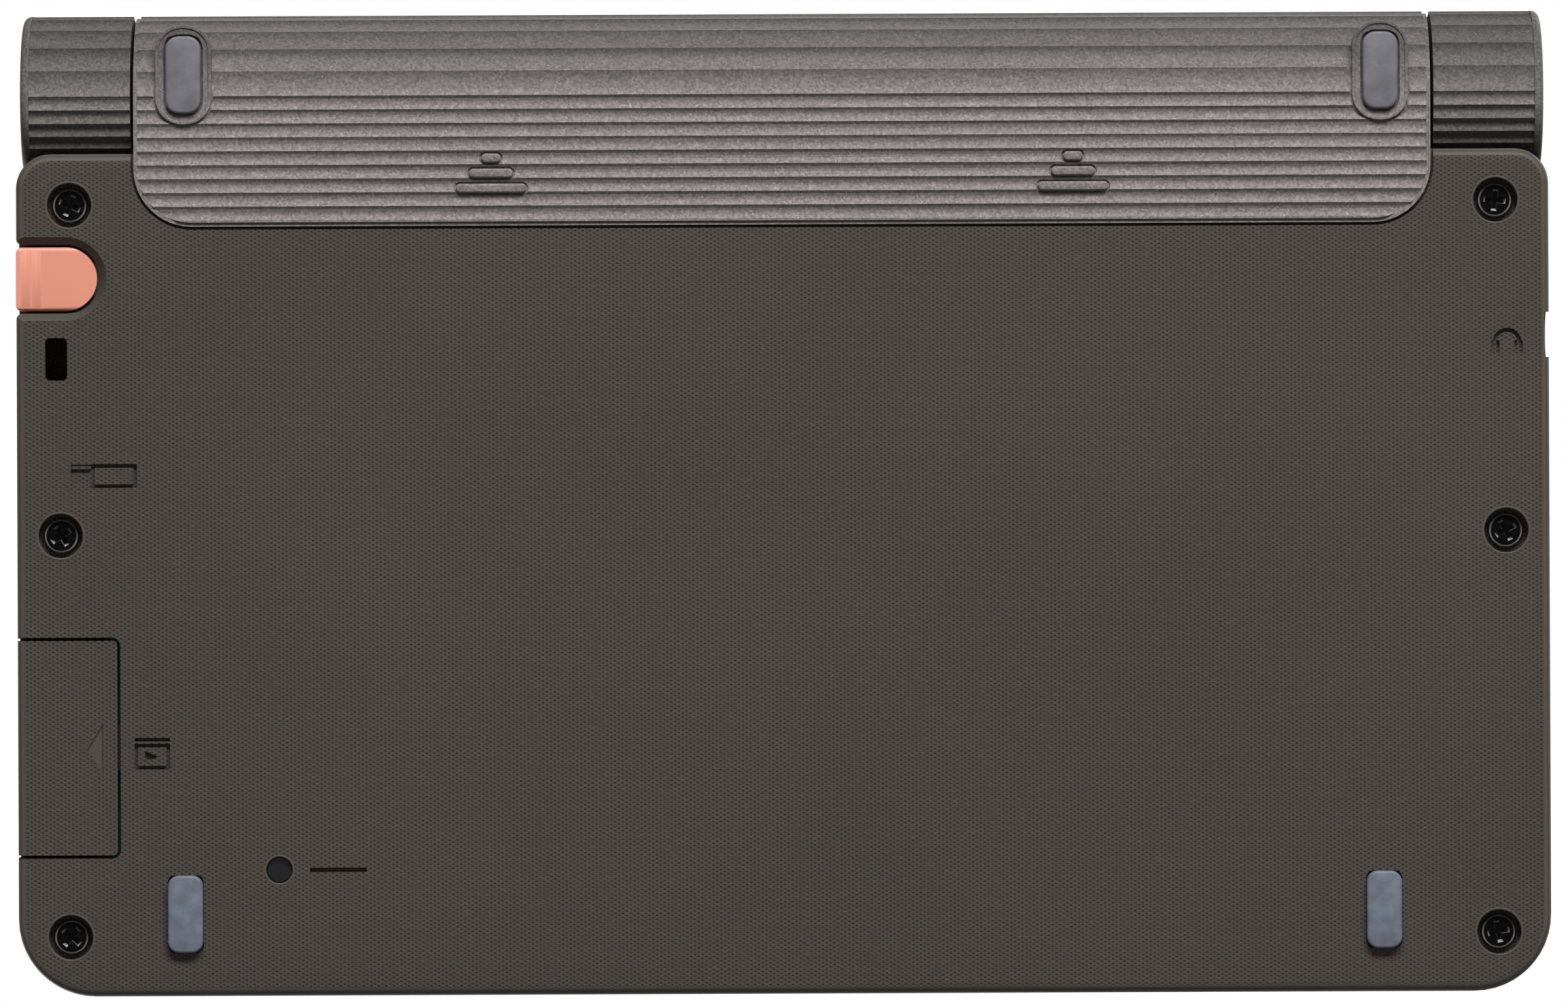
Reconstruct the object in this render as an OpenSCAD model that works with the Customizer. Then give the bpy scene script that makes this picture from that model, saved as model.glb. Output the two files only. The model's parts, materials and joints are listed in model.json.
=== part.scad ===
// Clamshell electronic dictionary, lid closed, standing on its four feet.
// X runs along the hinge, +Y points to the hinge, +Z points up.
// The origin is under the middle of the closed case, on the plane of the feet.

/* [Case] */
// Width of the case along the hinge
case_w = 158.7; // [150:0.5:175]
// Depth of the closed case, front edge to the back of the hinge tube
case_d = 101.8; // [96.1:0.2:115]
// Height of the case floor above the table
case_lift = 1.0; // [0.8:0.1:1.3]
// Height of the base rim above the case floor's underside
base_h = 8.9; // [8.9:0.1:10]
// Height of the lid
lid_h = 6.3; // [6.2:0.1:7.5]
// Gap between the closed lid and the base rim
lid_gap = 0.2; // [0.1:0.05:0.3]
// Wall thickness of the case halves
wall = 1.5; // [1.2:0.1:1.8]
// Thickness of the case floor
floor_t = 1.2; // [1.0:0.05:1.4]
// Radius of the front corners in plan
front_r = 8.0; // [6:0.5:9]
// Radius of the rear corners in plan
rear_r = 3.6; // [2:0.2:4]
// Rounding of the case's lower edge
edge_r = 1.0; // [0.4:0.1:1.1]
// Rounding of the lid's upper edge
lid_edge_r = 1.6; // [0.8:0.1:2]

/* [Hinge tube] */
// Outer radius of the hinge tube
tube_r = 8.65; // [8.4:0.05:9]
// Wall of the hinge tube
tube_wall = 1.1; // [0.9:0.05:1.2]
// Half length of the fixed middle of the tube
tube_mid = 67.1; // [65:0.1:69]
// Radius of the steel hinge shaft
shaft_r = 2.5; // [2:0.1:3]
// How far the hinge shaft reaches into the lid barrel
shaft_reach = 8.5; // [7:0.5:9.5]
// Radial running clearance of the shaft in its friction unit
shaft_play = 0.06; // [0.03:0.01:0.1]
// Gap between a lid barrel and the fixed tube
barrel_gap = 0.35; // [0.2:0.05:0.6]
// Depth of the smooth domed cap on a barrel's end
barrel_cap = 0.8; // [0.4:0.1:1.2]
// Clearance round the turning barrels
swing_play = 0.4; // [0.3:0.05:0.6]

/* [Battery cover] */
// Thickness of the flat part of the cover
cover_t = 1.0; // [0.8:0.1:1.2]
// Distance from the hinge axis to the front edge of the cover
cover_reach = 13.5; // [12.5:0.1:14]
// Radius of the cover's front corners
cover_r = 6.0; // [4:0.5:7]
// Gap round the cover
cover_gap = 0.3; // [0.2:0.05:0.4]
// How far the cover stands proud of the case floor
cover_proud = 0.4; // [0.2:0.1:0.5]
// Width of the smooth ledge round the fluted field
cover_rim = 0.42; // [0.3:0.02:0.6]
// How far the ledge lies below the fluted field
ledge_drop = 0.24; // [0.1:0.02:0.3]
// Width of one rib on the flat part
rib_w = 1.43; // [1.2:0.01:1.6]
// Depth of the groove between two ribs
rib_depth = 0.32; // [0.1:0.02:0.4]
// Depth of the wide flutes round the tube, as a share of that
wide_share = 0.85; // [0.4:0.05:0.9]
// Width of the wide flutes round the tube, in fine flutes
wide_ratio = 1.8; // [1.4:0.1:2]

/* [Cells] */
// Radius of a battery cell
cell_r = 7.15; // [6.8:0.05:7.2]
// Length of a battery cell with its nub
cell_len = 50.5; // [49:0.1:51]

/* [Feet] */
// Width of a rubber foot
foot_w = 3.65; // [3:0.05:4.2]
// Length of a rubber foot
foot_l = 8.0; // [7:0.1:9]
// Depth of the pocket that a foot is glued into
foot_sink = 0.5; // [0.3:0.1:0.6]
// Distance of the front feet from the middle
front_foot_x = 62.0; // [56:0.1:64]
// Distance of the front feet from the front edge
front_foot_in = 8.55; // [8:0.05:12]
// Distance of the rear feet from the middle
rear_foot_x = 61.9; // [60:0.1:63]
// Distance of the rear feet behind the hinge axis
rear_foot_back = 2.2; // [1.5:0.1:2.4]

/* [Screws] */
// Radius of a case screw's head
screw_head_r = 1.75; // [1.5:0.05:1.9]
// Height of a case screw's head
screw_head_h = 0.9; // [0.7:0.1:1.1]
// Radius of a case screw's shank
screw_r = 0.8; // [0.6:0.05:0.9]
// Radius of the counterbore over a case screw
sink_r = 2.33; // [2.1:0.01:2.5]
// Depth of the counterbore over a case screw
sink_d = 1.9; // [1.6:0.1:2.0]

/* [Stylus] */
// Width of the stylus end cap
cap_w = 6.6; // [6:0.1:7]
// Length of the stylus end cap
cap_l = 8.4; // [7.5:0.1:9]
// Height of the stylus end cap
cap_h = 4.1; // [3.8:0.1:4.3]
// Length of the whole stylus
stylus_l = 102; // [90:1:106]
// Width of the stylus barrel
pen_w = 4.6; // [4:0.1:4.8]
// Distance from the hinge axis to the middle of the stylus
stylus_in = 18.85; // [18.8:0.05:19.3]

/* [Keys] */
// Travel of a key
key_travel = 0.7; // [0.4:0.05:0.8]
// Distance between letter keys along a row
key_pitch_x = 12.4; // [11.8:0.1:12.8]
// Distance between rows of keys
key_pitch_y = 11.0; // [10.2:0.1:11.2]
// Width of a letter key
key_w = 10.4; // [9:0.1:10.8]
// Depth of a letter key
key_d = 7.8; // [6.8:0.1:8.2]
// Gap round a key in its hole
key_gap = 0.25; // [0.2:0.05:0.3]
// Lip of a key under the deck
key_lip = 0.5; // [0.3:0.05:0.6]

/* [Screen] */
// Width of the screen window
window_w = 116; // [108:1:120]
// Depth of the screen window
window_d = 64; // [58:1:68]

/* [Hidden] */
$fn = 64;
EPS = 0.01;
slip = 0.02;
seam = 0.05;

half_w = case_w / 2;
front_y = -case_d / 2;
axis_y = case_d / 2 - tube_r;
floor_z = case_lift;
inner_z = floor_z + floor_t;
cover_z = floor_z - cover_proud;
axis_z = cover_z + tube_r;
rim_z = floor_z + base_h;
lid_z = rim_z + lid_gap;
lid_top = lid_z + lid_h;
split_z = floor_z + 5.4;
board_z = floor_z + 4.0;
board_t = 1.0;
deck_z = rim_z - 1.9;
well_z = rim_z - 1.1;
key_top = rim_z - 0.2;
swing_r = tube_r + swing_play;
tube_in = tube_r - tube_wall - 0.1;
cover_in = tube_r - tube_wall;
barrel_x = tube_mid + barrel_gap;
barrel_end = half_w - 0.5;
rear_y = axis_y - 5.9;
inner_rear = axis_y - swing_r - 0.9;
cover_front = axis_y - cover_reach;
stylus_y = axis_y - stylus_in;
cap_z = floor_z + 0.35;
pen_z = inner_z + 0.3;
pen_h = 2.8;
pen_end_x = half_w - stylus_l;
stylus_play = 0.25;
screws = [[half_w - 5.55, axis_y - 11.25],
    [half_w - 4.55, axis_y - 45.45],
    [half_w - 5.45, front_y + 6.15]];
card_y0 = front_y + 14.65;
card_y1 = card_y0 + 22.2;
card_mid = (card_y0 + card_y1) / 2;
card_in = 10.35;
card_gap = 0.25;
usb_y = axis_y - 39.25;
strap_y = stylus_y - 8.3;
strap_w = 4.4;
jack_y = stylus_y - 6.35;
jack_z = floor_z + 3.6;
jack_r = 1.8;
jack_len = 12;
jack_end = -half_w + wall + jack_len;
jack_hole_r = 3;
reset_at = [52.3, front_y + 13.05];
// Stylus channel, and the board and key sheet that end in front of it
silo_play = 0.3;
silo_wall = 0.7;
silo_front = stylus_y - pen_w / 2 - silo_play - silo_wall;
board_half = half_w - 9.25;
board_front = front_y + 4.8;
board_rear = silo_front - 1.6;
sheet_half = board_half - 3;
sheet_rear = silo_front - 0.2;
well_rear = inner_rear - 6.4;
post_x = 40;
speaker_x = -50;
speaker_w = 20;
posts = [for (x = [post_x, -post_x], y = [front_y + 10.8, board_rear - 7.3]) [x, y]];
window_y = -5;
cable_x = half_w - 16.25;
cable_y = board_rear - 4.3;

case_col = [0.27, 0.25, 0.24];
paint_col = [0.46, 0.44, 0.44];
barrel_col = [0.40, 0.38, 0.37];
foot_col = [0.45, 0.48, 0.54];
coral_col = [0.87, 0.56, 0.47];

// Keys: name, x, y, width, depth
row_1_y = board_rear - 12.8;
function_y = row_1_y + key_pitch_y + 0.6;
function_step = 17;
function_w = 13.5;
function_d = 5.6;
bottom_y = row_1_y - 3 * key_pitch_y;
front_row_y = bottom_y - 12.5;
nav_x = 46;
nav_y = bottom_y - 7;
side_key_w = 14;
page_key_w = 12;
low_key_d = 7;
KEYS = concat(
    [for (i = [-3 : 3]) [i == -3 ? "power_key" : str("function_key_", i + 3),
        i * function_step, function_y, function_w, function_d]],
    [["arrow_up_key", nav_x, nav_y + 7, 8, 5],
    ["arrow_down_key", nav_x, nav_y - 7, 8, 5],
    ["arrow_left_key", nav_x - 10, nav_y, 6.5, low_key_d],
    ["arrow_right_key", nav_x + 10, nav_y, 6.5, low_key_d],
    ["enter_key", nav_x, nav_y, 9, 6],
    ["back_key", 18, front_row_y, page_key_w, low_key_d],
    ["page_up_key", 18, bottom_y, page_key_w, low_key_d],
    ["page_down_key", 2, front_row_y, page_key_w, low_key_d],
    ["delete_key", 2, bottom_y, page_key_w, low_key_d],
    ["jump_key", -18, bottom_y, side_key_w, low_key_d],
    ["sound_key", -38, bottom_y, side_key_w, low_key_d],
    ["shift_key", -58, bottom_y, side_key_w, low_key_d]]);
function row_keys(count, row) = [for (i = [0 : count - 1])
    ["", (i - (count - 1) / 2) * key_pitch_x, row_1_y - row * key_pitch_y, key_w, key_d]];
TOP_ROW = row_keys(10, 0);
MIDDLE_ROW = row_keys(9, 1);
BOTTOM_ROW = row_keys(8, 2);
ALL_KEYS = concat(KEYS, TOP_ROW, MIDDLE_ROW, BOTTOM_ROW);
function key_spec(name) = [for (k = KEYS) if (k[0] == name) k][0];

// A rectangle with four round corners, as exact arcs
module round_rect(x0, x1, y0, y1, r) {
    translate([x0 + r, y0]) square([x1 - x0 - 2 * r, y1 - y0]);
    translate([x0, y0 + r]) square([x1 - x0, y1 - y0 - 2 * r]);
    for (x = [x0 + r, x1 - r], y = [y0 + r, y1 - r]) translate([x, y]) circle(r);
}

module round_box(x0, x1, y0, y1, z0, z1, r) {
    translate([0, 0, z0]) linear_extrude(z1 - z0) round_rect(x0, x1, y0, y1, r);
}

module box(x0, x1, y0, y1, z0, z1) {
    translate([x0, y0, z0]) cube([x1 - x0, y1 - y0, z1 - z0]);
}

// A cylinder lying along X
module rod(x0, x1, y, z, r) {
    translate([x0, y, z]) rotate([0, 90, 0]) cylinder(h = x1 - x0, r = r);
}

// Both sides of the middle plane
module both_sides() {
    children();
    mirror([1, 0, 0]) children();
}

// Section from the middle out to w, with its outer lower and upper corners rounded
module edge_section(w, z0, z1, low_r, top_r) {
    translate([0, z0 + low_r]) square([w, z1 - z0 - low_r - top_r]);
    if (low_r > 0) {
        translate([0, z0]) square([w - low_r, low_r + EPS]);
        translate([w - low_r, z0 + low_r]) circle(low_r);
    }
    if (top_r > 0) {
        translate([0, z1 - top_r - EPS]) square([w - top_r, top_r + EPS]);
        translate([w - top_r, z1 - top_r]) circle(top_r);
    }
}

// A slab whose plan has round corners and whose edges are rounded all the way round
module slab(hx, y0, y1, z0, z1, rf, rr, low_r, top_r) {
    translate([0, y1 - rr, 0]) rotate([90, 0, 0]) linear_extrude(y1 - y0 - rr - rf) {
        edge_section(hx, z0, z1, low_r, top_r);
        mirror([1, 0]) edge_section(hx, z0, z1, low_r, top_r);
    }
    translate([-(hx - rf), y0 + rf + EPS, 0]) mirror([0, 1, 0]) rotate([90, 0, 90])
        linear_extrude(2 * (hx - rf)) edge_section(rf + EPS, z0, z1, low_r, top_r);
    translate([-(hx - rr), y1 - rr - EPS, 0]) rotate([90, 0, 90])
        linear_extrude(2 * (hx - rr)) edge_section(rr + EPS, z0, z1, low_r, top_r);
    both_sides() {
        translate([hx - rf, y0 + rf, 0]) rotate_extrude() intersection() {
            edge_section(rf, z0, z1, low_r, top_r);
            translate([0, z0]) square([rf, z1 - z0]);
        }
        translate([hx - rr, y1 - rr, 0]) rotate_extrude() intersection() {
            edge_section(rr, z0, z1, low_r, top_r);
            translate([0, z0]) square([rr, z1 - z0]);
        }
    }
}

// Flutes: hollow strips that meet in a sharp crest, t from 0 to 1 across one flute
FLUTE_STEPS = [0, 0.2, 0.4, 0.6, 0.8];
crest_sink = 0.03;
function flute_dip(t) = crest_sink + rib_depth * 4 * t * (1 - t);
// Point on the tube at angle a from straight down towards the back
function tube_point(r, a) = [axis_y + r * sin(a), axis_z - r * cos(a)];
// Flutes round the tube between two angles
function tube_flutes(a0, a1, count, depth_share) = [for (i = [0 : count - 1], t = FLUTE_STEPS)
    tube_point(tube_r - depth_share * flute_dip(t), a0 + (i + t) * (a1 - a0) / count)];
fine_count = round(PI * tube_r / rib_w);
wide_count = round(fine_count / 2);

// The battery cover's flutes, from its front edge round to its rear lip
cover_lip_a = 103;
flat_ribs = floor((cover_reach - cover_rim - 0.2) / rib_w);
flat_rib_y0 = axis_y - flat_ribs * rib_w;
flat_flutes = [for (i = [0 : flat_ribs - 1], t = FLUTE_STEPS)
    [flat_rib_y0 + (i + t) * rib_w, cover_z + flute_dip(t)]];
round_ribs = round(tube_r * cover_lip_a * PI / 180 / (wide_ratio * rib_w));
cutter_out = 2;
cover_cutter = concat(flat_flutes, tube_flutes(0, cover_lip_a, round_ribs, wide_share),
    [tube_point(tube_r - crest_sink, cover_lip_a)],
    [for (a = [cover_lip_a : -cover_lip_a / 8 : 0]) tube_point(tube_r + cutter_out, a)],
    [[flat_rib_y0, cover_z - cutter_out]]);

// Section of the battery cover: a flat plate that runs on into part of the tube
module cover_section() {
    difference() {
        union() {
            translate([cover_front, cover_z]) square([cover_reach, cover_t]);
            translate([axis_y, axis_z]) circle(tube_r);
        }
        translate([axis_y, axis_z]) circle(cover_in);
        translate([cover_front - 1, cover_z + cover_t]) square([cover_reach + 1, 3 * tube_r]);
        translate([axis_y - EPS, axis_z - tube_r * cos(cover_lip_a)]) square([2 * tube_r, 2 * tube_r]);
    }
}

// What the ledge round the field takes off the cover's outside
module ledge_section() {
    translate([cover_front - 1, cover_z - cutter_out]) square([cover_reach + 1, cutter_out + ledge_drop]);
    difference() {
        translate([axis_y, axis_z]) circle(tube_r + cutter_out);
        translate([axis_y, axis_z]) circle(tube_r - ledge_drop);
        translate([axis_y - 2 * tube_r, axis_z - 2 * tube_r]) square([2 * tube_r, 4 * tube_r]);
    }
}

// Extrudes a section in Y and Z along X
module along_x(x0, x1) {
    translate([x0, 0, 0]) rotate([90, 0, 90]) linear_extrude(x1 - x0) children();
}

// Plan of the battery cover, grown by g on its front and sides
module cover_plan(g, z0, z1) {
    round_box(-tube_mid - g, tube_mid + g, cover_front - g, axis_y + 30, z0, z1, cover_r + g);
}

module foot_pad(x, y, w, l, z0, z1) {
    translate([x, y, z0]) linear_extrude(z1 - z0) intersection() {
        round_rect(-w / 2, w / 2, -l / 2, l / 2, w * 0.22);
        translate([0, l / 2 - w * w]) circle(w * w);
        translate([0, w * w - l / 2]) circle(w * w);
    }
}

module screw_places() {
    both_sides() for (p = screws) translate([p[0], p[1], 0]) children();
}

// Space swept by the turning barrels at each end of the tube
module barrel_space(r) {
    both_sides() rod(tube_mid + slip, half_w + 5, axis_y, axis_z, r);
}

module base_outer(z0, z1, top_r) {
    slab(half_w, front_y, rear_y, z0, z1, front_r, rear_r, z0 == floor_z ? edge_r : 0, top_r);
}

module base_inner(z0, z1) {
    slab(half_w - wall, front_y + wall, inner_rear, z0, z1, front_r - wall, rear_r - wall, 0, 0);
}

// Opening for the stylus cap: D-shaped at its inner end, grown by g
module stylus_notch(g, z0, z1) {
    r = cap_w / 2 + g;
    x0 = half_w - cap_l + cap_w / 2;
    translate([x0, stylus_y, z0]) cylinder(h = z1 - z0, r = r);
    box(x0, half_w + 5, stylus_y - r, stylus_y + r, z0, z1);
}

// Funnel-shaped easing of the case floor round the stylus notch
module stylus_easing() {
    x0 = half_w - cap_l + cap_w / 2;
    r = cap_w / 2 + stylus_play;
    h = 0.8;
    translate([x0, stylus_y, floor_z - EPS]) cylinder(h = h, r1 = r + h, r2 = r);
    along_x(x0, half_w + 5) polygon([[stylus_y - r - h, floor_z - EPS],
        [stylus_y + r + h, floor_z - EPS], [stylus_y + r, floor_z + h], [stylus_y - r, floor_z + h]]);
}

// Rounds the case's two upright corners beside the stylus notch
module stylus_corners() {
    r = 0.7;
    edge = cap_w / 2 + stylus_play;
    for (s = [-1, 1]) difference() {
        box(half_w - r, half_w + 1, stylus_y + s * (edge + r / 2) - r / 2 - slip,
            stylus_y + s * (edge + r / 2) + r / 2 + slip, floor_z - 1, split_z + 1);
        translate([half_w - r, stylus_y + s * (edge + r), floor_z - 2]) cylinder(h = split_z + 4, r = r);
    }
}

card_x0 = half_w - card_in;
card_top = floor_z + 4.4;

module card_door_space(g) {
    round_box(card_x0 - g, half_w + 5, card_y0 - g, card_y1 + g, floor_z - 1, inner_z + EPS, 0.65);
    box(half_w - wall - g, half_w + 5, card_y0 - g, card_y1 + g, floor_z - 1, card_top + g);
}

module bottom_case() {
    color(case_col) difference() {
        union() {
            difference() {
                base_outer(floor_z, split_z, 0);
                base_inner(inner_z, split_z + 1);
            }
            // Ledge that carries the battery cover's front edge
            box(-tube_mid - 2, tube_mid + 2, cover_front - 2, inner_rear + 1, cover_z + 1.15, inner_z + 0.6);
            screw_places() translate([0, 0, floor_z]) cylinder(h = sink_d + 1, r = sink_r + 0.9);
            for (p = posts) translate([p[0], p[1], inner_z - EPS])
                cylinder(h = board_z - inner_z + EPS, r = 2.2);
        }
        cover_plan(cover_gap, 0, cover_z + 1.15);
        // Hook slots of the battery cover, open to the rear
        for (x = hooks_x) box(x - hook_w / 2 - 0.3, x + hook_w / 2 + 0.3, hook_y - 0.3, axis_y, 0, hook_z1 + 0.3);
        barrel_space(swing_r);
        rod(-tube_mid - 1, tube_mid + 1, axis_y, axis_z, tube_r + 0.05);
        screw_places() {
            translate([0, 0, -1]) cylinder(h = floor_z + sink_d + 1, r = sink_r);
            cylinder(h = 12, r = screw_r + 0.2);
        }
        for (p = posts) translate([p[0], p[1], board_z - 2]) cylinder(h = 3, r = 0.52);
        both_sides() foot_pad(front_foot_x, front_y + front_foot_in, foot_w + 0.1, foot_l + 0.1,
            floor_z - 1, floor_z + foot_sink);
        stylus_notch(stylus_play, 0, split_z + 1);
        stylus_easing();
        stylus_corners();
        card_door_space(card_gap);
        // Strap slot: floor, side wall and the passage between them
        round_box(half_w - 5.3, half_w - 3.0, strap_y - strap_w / 2, strap_y + strap_w / 2, 0, inner_z + 3, 0.5);
        box(half_w - 3.1, half_w + 1, strap_y - strap_w / 2, strap_y + strap_w / 2, inner_z + 0.4, inner_z + 2.4);
        // Port openings
        box(half_w - usb_l, half_w + 1, usb_y - usb_w / 2 - 0.15, usb_y + usb_w / 2 + 0.15,
            usb_z0 - 0.15, usb_z1 + 0.15);
        rod(-half_w - 1, -half_w + 3, jack_y, jack_z, jack_hole_r);
        box(-half_w - 1, -half_w + 0.5, jack_y - 2.35, jack_y + 2.35, 0, split_z + 1);
        translate([reset_at[0], reset_at[1], 0]) cylinder(h = 4, r = 1.4);
        // Generic pictograms and the door's arrow are shallow moulded marks
        marks();
    }
}

hook_w = 3;
hook_x = tube_mid - 7.6;
hooks_x = [-hook_x, hook_x];
hook_y = cover_front + 1.25;
hook_z0 = inner_z + 0.7;
hook_z1 = inner_z + 1.4;
usb_z1 = board_z - 0.02;
usb_z0 = usb_z1 - 2.5;
usb_w = 7.5;
usb_l = 13.25;
mark_d = 0.15;

module mark(x0, x1, y0, y1) {
    box(x0, x1, y0, y1, floor_z - 1, floor_z + mark_d);
}

// Card outline beside the door, a plug outline, a headset outline and a reset bar
module marks() {
    difference() {
        mark(card_x0 - 5.4, card_x0 - 1.8, card_mid - 2.2, card_mid + 0.4);
        translate([0, 0, -2]) box(card_x0 - 5.1, card_x0 - 2.1, card_mid - 1.9, card_mid + 0.1, 0, 4);
    }
    difference() {
        mark(half_w - 12.45, half_w - 5.65, usb_y - 1.2, usb_y + 1.2);
        translate([0, 0, -2]) box(half_w - 12.15, half_w - 8.05, usb_y - 0.9, usb_y + 0.9, 0, 4);
    }
    translate([-half_w + 4.4, jack_y - 0.8, floor_z - 1]) {
        linear_extrude(1 + mark_d) difference() {
            circle(1.45);
            circle(1.15);
            translate([-2, -3]) square([4, 3]);
        }
        for (x = [-1.6, 0.8]) translate([x, -1.1, 0]) cube([0.8, 1.3, 1 + mark_d]);
    }
    mark(reset_at[0] - 9, reset_at[0] - 3.2, reset_at[1] - 0.2, reset_at[1] + 0.2);
}

module keyboard_deck() {
    color(case_col) difference() {
        union() {
            difference() {
                base_outer(split_z + seam, rim_z, 0.4);
                base_inner(split_z - 1, deck_z);
                rod(-tube_mid + 0.9, tube_mid - 0.9, axis_y, axis_z, tube_in);
            }
            // Upper half of the hinge tube
            difference() {
                rod(-tube_mid, tube_mid, axis_y, axis_z, tube_r - 0.02);
                rod(-tube_mid + 0.9, tube_mid - 0.9, axis_y, axis_z, tube_in);
                box(-half_w, half_w, front_y, axis_y + 20, -5, axis_z - 1);
                box(-half_w, half_w, axis_y, axis_y + 20, -5, axis_z + tube_r * sin(cover_lip_a - 90) + 0.25);
            }
            // End walls that carry the friction units, and walls for the contacts
            both_sides() {
                rod(tube_mid - 0.9, tube_mid, axis_y, axis_z, tube_in - 0.25);
                for (w = [[tube_in - 0.25, -4], [tube_in + 0.3, 3]]) intersection() {
                    rod(bay_x, bay_x + 1, axis_y, axis_z, w[0]);
                    box(0, half_w, axis_y - 20, axis_y + 20, axis_z + w[1], axis_z + 20);
                }
            }
            screw_places() translate([0, 0, floor_z + sink_d + 1]) cylinder(h = deck_z - floor_z - sink_d - 1 + EPS, r = 2.1);
        }
        round_box(-board_half, board_half, front_y + 4.5, well_rear, well_z, rim_z + 1, 1.5);
        barrel_space(swing_r);
        rod(-half_w - 1, -half_w + 3, jack_y, jack_z, jack_hole_r);
        rod(-tube_mid - 1, -tube_mid + 2, axis_y, axis_z, shaft_r + 0.3);
        rod(tube_mid - 2, tube_mid + 1, axis_y, axis_z, shaft_r + 0.3);
        screw_places() cylinder(h = deck_z - 0.6, r = screw_r + slip);
        for (k = ALL_KEYS) translate([k[1], k[2], 0])
            round_box(-k[3] / 2 - key_gap, k[3] / 2 + key_gap, -k[4] / 2 - key_gap, k[4] / 2 + key_gap,
                deck_z - 1, rim_z + 1, 1 + key_gap);
        for (i = [0 : 4]) round_box(speaker_x - speaker_w * 0.4, speaker_x + speaker_w * 0.4,
            inner_rear - 5.2 + i * 1.2, inner_rear - 4.6 + i * 1.2, deck_z - 1, rim_z + 1, 0.28);
    }
}

bay_x = cell_len + 2.8;
unit_x0 = bay_x + 2.8;

module main_board() {
    color([0.1, 0.35, 0.2]) difference() {
        union() {
            round_box(-board_half, board_half, board_front, board_rear, board_z, board_z + board_t, 1);
            for (c = [[-20, -10, 14], [6, -12, 10], [22, 2, 8]])
                box(c[0] - c[2] / 2, c[0] + c[2] / 2, c[1] - c[2] / 2, c[1] + c[2] / 2, board_z - 1, board_z + EPS);
            box(cable_x - 4, cable_x + 4, cable_y - 2, cable_y + 3, board_z - 1.2, board_z + EPS);
        }
        for (p = posts) translate([p[0], p[1], board_z - 3]) cylinder(h = 6, r = 0.6);
        box(-half_w, jack_end + 0.05, jack_y - 3.4, inner_rear, board_z - 1, board_z + 3);
    }
}

module key_dome_sheet() {
    color([0.8, 0.8, 0.75]) difference() {
        union() {
            round_box(-sheet_half, sheet_half, board_front + 0.8, sheet_rear, board_z + board_t + slip,
                board_z + board_t + 0.22, 1);
            for (k = ALL_KEYS) translate([k[1], k[2], board_z + board_t + 0.1]) cylinder(h = 0.35, r = 2);
        }
        for (p = posts) translate([p[0], p[1], board_z]) cylinder(h = 5, r = 1.8);
        box(-half_w, jack_end + 1.75, jack_y - 3.6, inner_rear, board_z - 1, board_z + 5);
        box(cable_x - 3.3, half_w, cable_y - 0.3, inner_rear, board_z - 1, board_z + 5);
    }
}

module battery_cells() {
    color([0.75, 0.68, 0.5]) for (x = [-cell_len, 0]) {
        rod(x + 0.1, x + cell_len - 1, axis_y, axis_z, cell_r);
        rod(x + cell_len - 1 - EPS, x + cell_len, axis_y, axis_z, 2.7);
    }
}

// Zigzag leaf that presses on the flat end of a cell
module battery_contact_minus() {
    x0 = -bay_x + slip;
    x1 = -cell_len + 0.1 - slip;
    n = 4;
    step = (x1 - x0 - 0.3) / n;
    color("silver") translate([0, axis_y, axis_z - 3]) linear_extrude(6) union() {
        translate([x0, -4]) square([0.3, 8]);
        for (i = [1 : n - 1]) polygon([[x0 + i * step, -3], [x0 + i * step + 0.3, -3],
            [x0 + i * step + 0.3, 3], [x0 + i * step, 3]]);
        for (i = [0 : n - 2]) translate([x0 + i * step, i % 2 == 0 ? 2.7 : -3]) square([step + 0.3, 0.3]);
        translate([x0 + (n - 1) * step, -0.5]) square([x1 - x0 - (n - 1) * step, 1]);
    }
}

module battery_contact_plus() {
    color("silver") {
        box(bay_x - 0.3 - slip, bay_x - slip, axis_y - 4, axis_y + 4, axis_z - 3, axis_z + 3);
        box(cell_len + slip, bay_x - slip, axis_y - 0.6, axis_y + 0.6, axis_z - 2, axis_z + 2);
    }
}

module case_screws() {
    head_z = floor_z + sink_d - screw_head_h;
    color([0.08, 0.08, 0.08]) screw_places() difference() {
        union() {
            translate([0, 0, head_z + 0.3]) cylinder(h = screw_head_h - 0.3, r = screw_head_r);
            translate([0, 0, head_z]) cylinder(h = 0.31, r1 = screw_head_r - 0.35, r2 = screw_head_r);
            translate([0, 0, floor_z + sink_d - EPS]) cylinder(h = deck_z - 1.1 - floor_z - sink_d, r = screw_r);
        }
        for (a = [45, 135]) rotate(a) translate([-1.15, -0.27, head_z - 1]) cube([2.3, 0.54, 1.6]);
    }
}

module board_screws() {
    color("silver") for (p = posts) translate([p[0], p[1], 0]) difference() {
        union() {
            translate([0, 0, board_z + board_t + slip]) cylinder(h = 0.4, r = 1.4);
            translate([0, 0, board_z - 1.8]) cylinder(h = 1.8 + board_t + slip + EPS, r = 0.5);
        }
        translate([-1, -0.15, board_z + board_t + 0.25]) cube([2, 0.3, 1]);
    }
}

module front_feet() {
    color(foot_col) both_sides() foot_pad(front_foot_x, front_y + front_foot_in, foot_w, foot_l,
        0, floor_z + foot_sink);
}

module card_socket() {
    color("silver") difference() {
        box(card_x0 - 16, card_x0 - 2, card_y0 + 3.7, card_y1 - 3.7, board_z - 2, board_z - slip);
        box(card_x0 - 15, card_x0 - 1, card_y0 + 5.1, card_y1 - 5.1, board_z - 1.6, board_z - 0.6);
    }
}

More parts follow.
